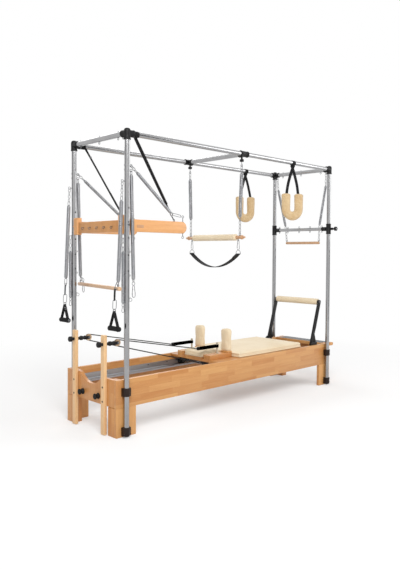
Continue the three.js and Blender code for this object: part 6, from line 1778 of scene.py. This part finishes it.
def sling():
    bm = bmesh.new()
    for side in BOTH:
        carabiner(bm, at(MID_X, side * SLING_Y, 1392), at(MID_X, side * SLING_Y, 1306), X, 8, 12, 2.2)
        half = [(12, 1305), (22, 1297), (26, 1284), (25, 1277), (12, 1276)]
        around = [(0, 1308), *half, *[(-y, z) for y, z in half[::-1]]]
        ring = [at(MID_X, side * SLING_Y + y, z) for y, z in around]
        turn = Matrix.Translation(ring[0]) @ Matrix.Rotation(pi / 2, 4, "Z") @ Matrix.Translation(-ring[0])
        bent(bm, [turn @ place for place in ring], 2.2, 8, closed=True)
    finished(bm, "sling_hooks", bright_wire, "sling")
    bm = bmesh.new()
    line = [at(MID_X, -SLING_Y + 2 * SLING_Y * i / 40, 1161 + 113 * ((i - 20) / 20) ** 2) for i in range(41)]
    widths = [46 if i in (0, 40) else 50 if i in (1, 39) else 52 for i in range(41)]
    ribbon(bm, line, widths, 5, X, 10, 0.6)
    for side in BOTH:
        end = line[0] if side < 0 else line[-1]
        inward = (line[4] - line[0]).normalized() if side < 0 else (line[-5] - line[-1]).normalized()
        up = X.cross(inward) * (1 if side > 0 else -1)
        turns = [pi * k / 8 - pi / 2 for k in range(9)]
        around = [end + inward * (5.4 * cos(t) * -1) + up * 5.4 * sin(t) + up * -3 for t in turns]
        ribbon(bm, around, 48, 3, X, 8)
        patch = [end + inward * d - up * 4.6 for d in (2, 18, 36, 52)]
        ribbon(bm, patch, 48, 3, X, 8)
    finished(bm, "sling_band", strap_sling, "sling", "trapeze_sling", smooth=50)
    bm = bmesh.new()
    for side in BOTH:
        rows = line[1:5] if side < 0 else line[-5:-1]
        for place in (rows[0], rows[2]):
            stitches(bm, [place + at(-20, 0, 3.4), place + at(20, 0, 3.4)], Z, 3.6, 2.4, 0.4)
        for x in (-20, 20):
            stitches(bm, [place + at(x, 0, 3.2) for place in rows], Z, 3.6, 2.4, 0.4)
    finished(bm, "sling_thread", black_thread, "sling")


# ---- Fleece loops ----

def fleece_loop(name, side, x, top_z, arc_z, angle):
    """A strap choked round the top rail, spreading to the two legs of a fleece pad bent to a U."""
    body = "loop_" + name
    turn = Matrix.Translation((x, side * POST_Y, 0)) @ Matrix.Rotation(radians(angle), 4, "Z")
    wide_way = turn.to_3x3() @ X
    across = turn.to_3x3() @ Y

    def local(u, v, z):
        return turn @ at(u, v, z)

    bm = bmesh.new()
    choke(bm, x, side, 44, 20.4, 4, -75, 255)
    for way in BOTH:
        line = [local(-way * 11, way * 2.6, 2080), local(-way * 3, way * 2.4, 2064),
                local(way * 12, way * 2, 2024), local(way * 30, way * 1.4, 1965), local(way * 46, 0, 1900),
                local(way * 57, 0, top_z + 8), local(way * 60, 0, top_z - 22)]
        ribbon(bm, eased(line, 4), 27, 3, wide_way, 5)
    finished(bm, "loop_band_" + name, strap_loop, body, "loop_strap_" + name, smooth=50)
    bm = bmesh.new()
    bow = 64
    heights = [top_z + (arc_z - top_z) * i / 8 for i in range(8)]
    bottom = [local(-bow * cos(t), 0, arc_z - bow * sin(t)) for t in [pi * k / 22 for k in range(23)]]
    line = [*[local(-bow, 0, z) for z in heights], *bottom, *[local(bow, 0, z) for z in heights[::-1]]]
    first = [line[0].lerp(line[1], share) for share in (0.15, 0.4, 0.7)]
    last = [line[-1].lerp(line[-2], share) for share in (0.7, 0.4, 0.15)]
    over = at(0, 0, 3)
    centres = [line[0] + over, line[0], *first, *line[1:-1], *last, line[-1], line[-1] + over]
    cap = (0.42, 0.66, 0.82, 0.92, 0.98)
    total = len(centres)
    halves = []
    for i in range(total):
        end = min(i, total - 1 - i)
        swell = cap[end] if end < len(cap) else 1
        lump = 1 + 0.035 * noise.noise(centres[i] * 0.03)
        low = min(end / 12, 1)
        halves.append(((45 - 5 * low) * swell * lump, 27 * swell * lump))
    oval_tube(bm, centres, across, halves, 36)
    bmesh.ops.subdivide_edges(bm, edges=bm.edges, cuts=1, use_grid_fill=True)
    for vert in bm.verts:
        fluff = noise.fractal(vert.co * 0.16, 1.0, 2.0, 3) * 1.3
        middle = min(centres, key=lambda place: (place - vert.co).length)
        vert.co += (vert.co - middle).normalized() * fluff
    made = finished(bm, "loop_fleece_" + name, plush, body, "loop_pad_" + name, smooth=70)
    bm = bmesh.new()
    for way in BOTH:
        for z in (1996, 1990):
            middle = local(way * 22, 0, z)
            for face in BOTH:
                off = across * face * 2.2
                ends = [middle - wide_way * 10 + off, middle + wide_way * 10 + off]
                stitches(bm, ends, across * face, 3.4, 2.4, 0.35)
    finished(bm, "loop_thread_" + name, black_thread, body)


# ---- Foot-end crossbar and roll-down bar ----

def foot_crossbar():
    x, z = POST_X, FOOT_BAR_Z
    bm = bmesh.new()
    pipe(bm, at(x, -285, z), at(x, 285, z), 16, 2, 48)
    finished(bm, "foot_bar_tube", steel, "foot_crossbar", "foot_crossbar")
    bm, bolts = bmesh.new(), bmesh.new()
    for side in BOTH:
        y = side * POST_Y
        collar = [(19.4, 0), (23.4, 0), (24.5, 1.6), (24.5, 7), (23.2, 9), (23.2, 91), (24.5, 93),
                (24.5, 98.4), (23.4, 100), (19.4, 100), (19.4, 0)]
        turned(bm, collar, at(x, y, z - 50), Z, 48)
        socket = [(16.2, 0), (20, 0), (21, 1.4), (21, 6), (20, 8), (20, 46), (21.4, 50), (16.2, 50),
                (16.2, 0)]
        turned(bm, socket, at(x, side * 264, z), Y * side, 48)
        for dz in (-34, 34):
            screw(bolts, at(x + 23, y, z + dz), X, 4, 2.2)
    turned(bm, [(0, 0), (14, 0), (12, 8), (12, 27), (10, 28.5), (0, 28.5)], at(x, -360, z), -Y, 36)
    finished(bm, "foot_bar_fittings", black_plastic, "foot_crossbar")
    finished(bolts, "foot_bar_screws", black_paint, "foot_crossbar")
    bm = bmesh.new()
    for y in (161, 16, -118):
        for way in BOTH:
            rod(bm, at(x, y, z + way * 15), at(x, y, z + way * 18.4), 3, 0.4, 14)
            link(bm, at(x, y, z + way * 24), X, 7.6, 1.9)
            washer(bm, at(x, y, z + way * 15.6), Z * way, 5, 1.4)
    for y in (268, -260):
        for way in BOTH:
            rod(bm, at(x, y, z + way * 15), at(x, y, z + way * 21), 3, 0.4, 14)
            link(bm, at(x, y, z + way * 27), X, 6.6, 1.9)
    finished(bm, "foot_bar_eyes", bright_wire, "foot_crossbar")
    bm = bmesh.new()
    rod(bm, at(x, -388.8, z), at(x, -412, z), 8.8, 0.8, 28)
    outline(bm, lobed(20, 1.8, 6), 20, Matrix.Translation((x, -430, z)) @ IN_XZ, 3, 3, 50)
    finished(bm, "collar_knob_grip", black_plastic, "collar_knob", "collar_knob")
    bm = bmesh.new()
    rod(bm, at(x, -382, z), at(x, -390, z), 4.8, 0.5, 20)
    turned(bm, [(0, 0), (7, 0), (6.4, 1.2), (0, 1.6)], at(x, -430, z), -Y, 24)
    finished(bm, "collar_knob_screw", bright_wire, "collar_knob")


def roll_down():
    bm = bmesh.new()
    for side in BOTH:
        coil(bm, at(1214.2, side * 297, 1949), at(1235.5, side * 212, 1562), 13, 1.8, 18)
    finished(bm, "roll_down_coils", worn_wire, "roll_down", "roll_down_set", tidy=False)
    bm = bmesh.new()
    for side in BOTH:
        chain(bm, at(1208, side * 302, 2066), at(1214.4, side * 296.6, 1944), 4, X, 9, 2.1)
        chain(bm, at(1235.2, side * 213, 1566), at(1244.3, side * ROLL_Y, 1404), 5, X, 8.8, 2.1)
        eye_bolt(bm, at(ROLL_X, side * ROLL_Y, 1402), at(ROLL_X, side * ROLL_Y, 1411), X, 6.2, 1.8, 2.4)
        washer(bm, at(ROLL_X, side * ROLL_Y, 1402.6), Z, 6, 1.6)
        turned(bm, [(0, 0), (5, 0), (5, 2), (2.4, 3), (2.4, 5), (0, 5)],
                at(ROLL_X, side * (ROLL_Y + 6), ROLL_Z), Y * side, 20)
    finished(bm, "roll_down_links", bright_wire, "roll_down")
    bm = bmesh.new()
    bar = [(0, 0), (10.5, 0), (12.8, 1.4), (13.5, 4.5), (13.5, 407.5), (12.8, 410.6), (10.5, 412), (0, 412)]
    turned(bm, bar, at(ROLL_X, -ROLL_Y - 6, ROLL_Z), Y, 40)
    finished(bm, "roll_down_rod", beech_round, "roll_down")


mid_crossbar()
trapeze()
sling()
fleece_loop("near", -1, 632, 1820, 1686, -25)
fleece_loop("far", 1, 745, 1842, 1695, -18)
foot_crossbar()
roll_down()


# ---- Studio ----

def seen_directly(tree):
    """One for rays from the camera, a mirror or glass, and nought for the rays that light the table."""
    path = node(tree, "LightPath")
    reflected = maths(tree, "MAXIMUM", path["Is Glossy Ray"], path["Is Transmission Ray"])
    return maths(tree, "MAXIMUM", path["Is Camera Ray"], reflected)


def bare_tree(holder):
    """The emptied node tree of a material or world."""
    holder.use_nodes = True
    holder.node_tree.nodes.clear()
    return holder.node_tree


def card(name, wide, tall, matrix, material):
    """A flat sheet of the studio, which is no piece of the table."""
    bm = bmesh.new()
    bmesh.ops.create_grid(bm, x_segments=1, y_segments=1, size=1, matrix=matrix
            @ Matrix.Diagonal((wide / 2, tall / 2, 1, 1)))
    mesh = bpy.data.meshes.new(name)
    bm.to_mesh(mesh)
    bm.free()
    mesh.materials.append(material)
    made = bpy.data.objects.new(name, mesh)
    scene.collection.objects.link(made)
    return made


def floor():
    """A pale floor that keeps the table's shadow and fades to white with distance."""
    material = bpy.data.materials.new("studio_floor")
    tree = bare_tree(material)
    matt = node(tree, "BsdfDiffuse", Color=(0.93, 0.93, 0.93, 1), Roughness=0.5)[0]
    white = node(tree, "Emission", Color=(1, 1, 1, 1), Strength=1.0)[0]
    away = node(tree, "VectorMath", node(tree, "TexCoord")["Object"], operation="LENGTH")["Value"]
    share = spread(tree, away, 1.6, 4.2, 0.28, 1.0)
    shown = node(tree, "MixShader", times(tree, seen_directly(tree), share), matt, white)[0]
    tree.links.new(shown, tree.nodes.new("ShaderNodeOutputMaterial").inputs["Surface"])
    card("studio_floor", 80, 80, Matrix(), material)


def surroundings():
    """A white world, dimmer for the rays that light the table."""
    world = bpy.data.worlds.new("studio_world")
    scene.world = world
    tree = bare_tree(world)
    strength = spread(tree, seen_directly(tree), 0.0, 1.0, 0.55, 1.0)
    plain = node(tree, "Background", Color=(1, 1, 1, 1), Strength=strength)[0]
    tree.links.new(plain, tree.nodes.new("ShaderNodeOutputWorld").inputs["Surface"])


def lamp(name, place, aim, wide, tall, power):
    data = bpy.data.lights.new(name, "AREA")
    data.shape = "RECTANGLE"
    data.size, data.size_y = wide, tall
    data.energy = power
    made = bpy.data.objects.new(name, data)
    towards = (Vector(aim) - Vector(place)).normalized()
    made.matrix_world = Matrix.Translation(place) @ towards.to_track_quat("-Z", "Y").to_matrix().to_4x4()
    scene.collection.objects.link(made)


def dark_card(name, place, wide, tall):
    """A dark card beside the table that only draws a line along its polished tubes."""
    material = bpy.data.materials.new(name)
    tree = bare_tree(material)
    dark = node(tree, "BsdfDiffuse", Color=(0.02, 0.02, 0.02, 1))[0]
    tree.links.new(dark, tree.nodes.new("ShaderNodeOutputMaterial").inputs["Surface"])
    made = card(name, wide, tall, facing(Vector(place), Vector((-place[0], -place[1], 0)).normalized()),
            material)
    made.visible_camera = made.visible_diffuse = made.visible_shadow = False


floor()
surroundings()
dark_card("dark_card_right", (3.4, -6.2, 2.2), 3.2, 5.0)
dark_card("dark_card_left", (-6.4, 2.6, 2.2), 2.2, 5.0)
lamp("key_light", (-3.2, -3.6, 4.2), (0, 0, 0.9), 2.6, 2.6, 170)
lamp("fill_light", (3.4, -3.4, 2.6), (0, 0, 0.9), 2.4, 2.4, 60)
lamp("back_light", (1.2, 3.8, 3.6), (0, 0, 1.0), 3.0, 1.8, 70)
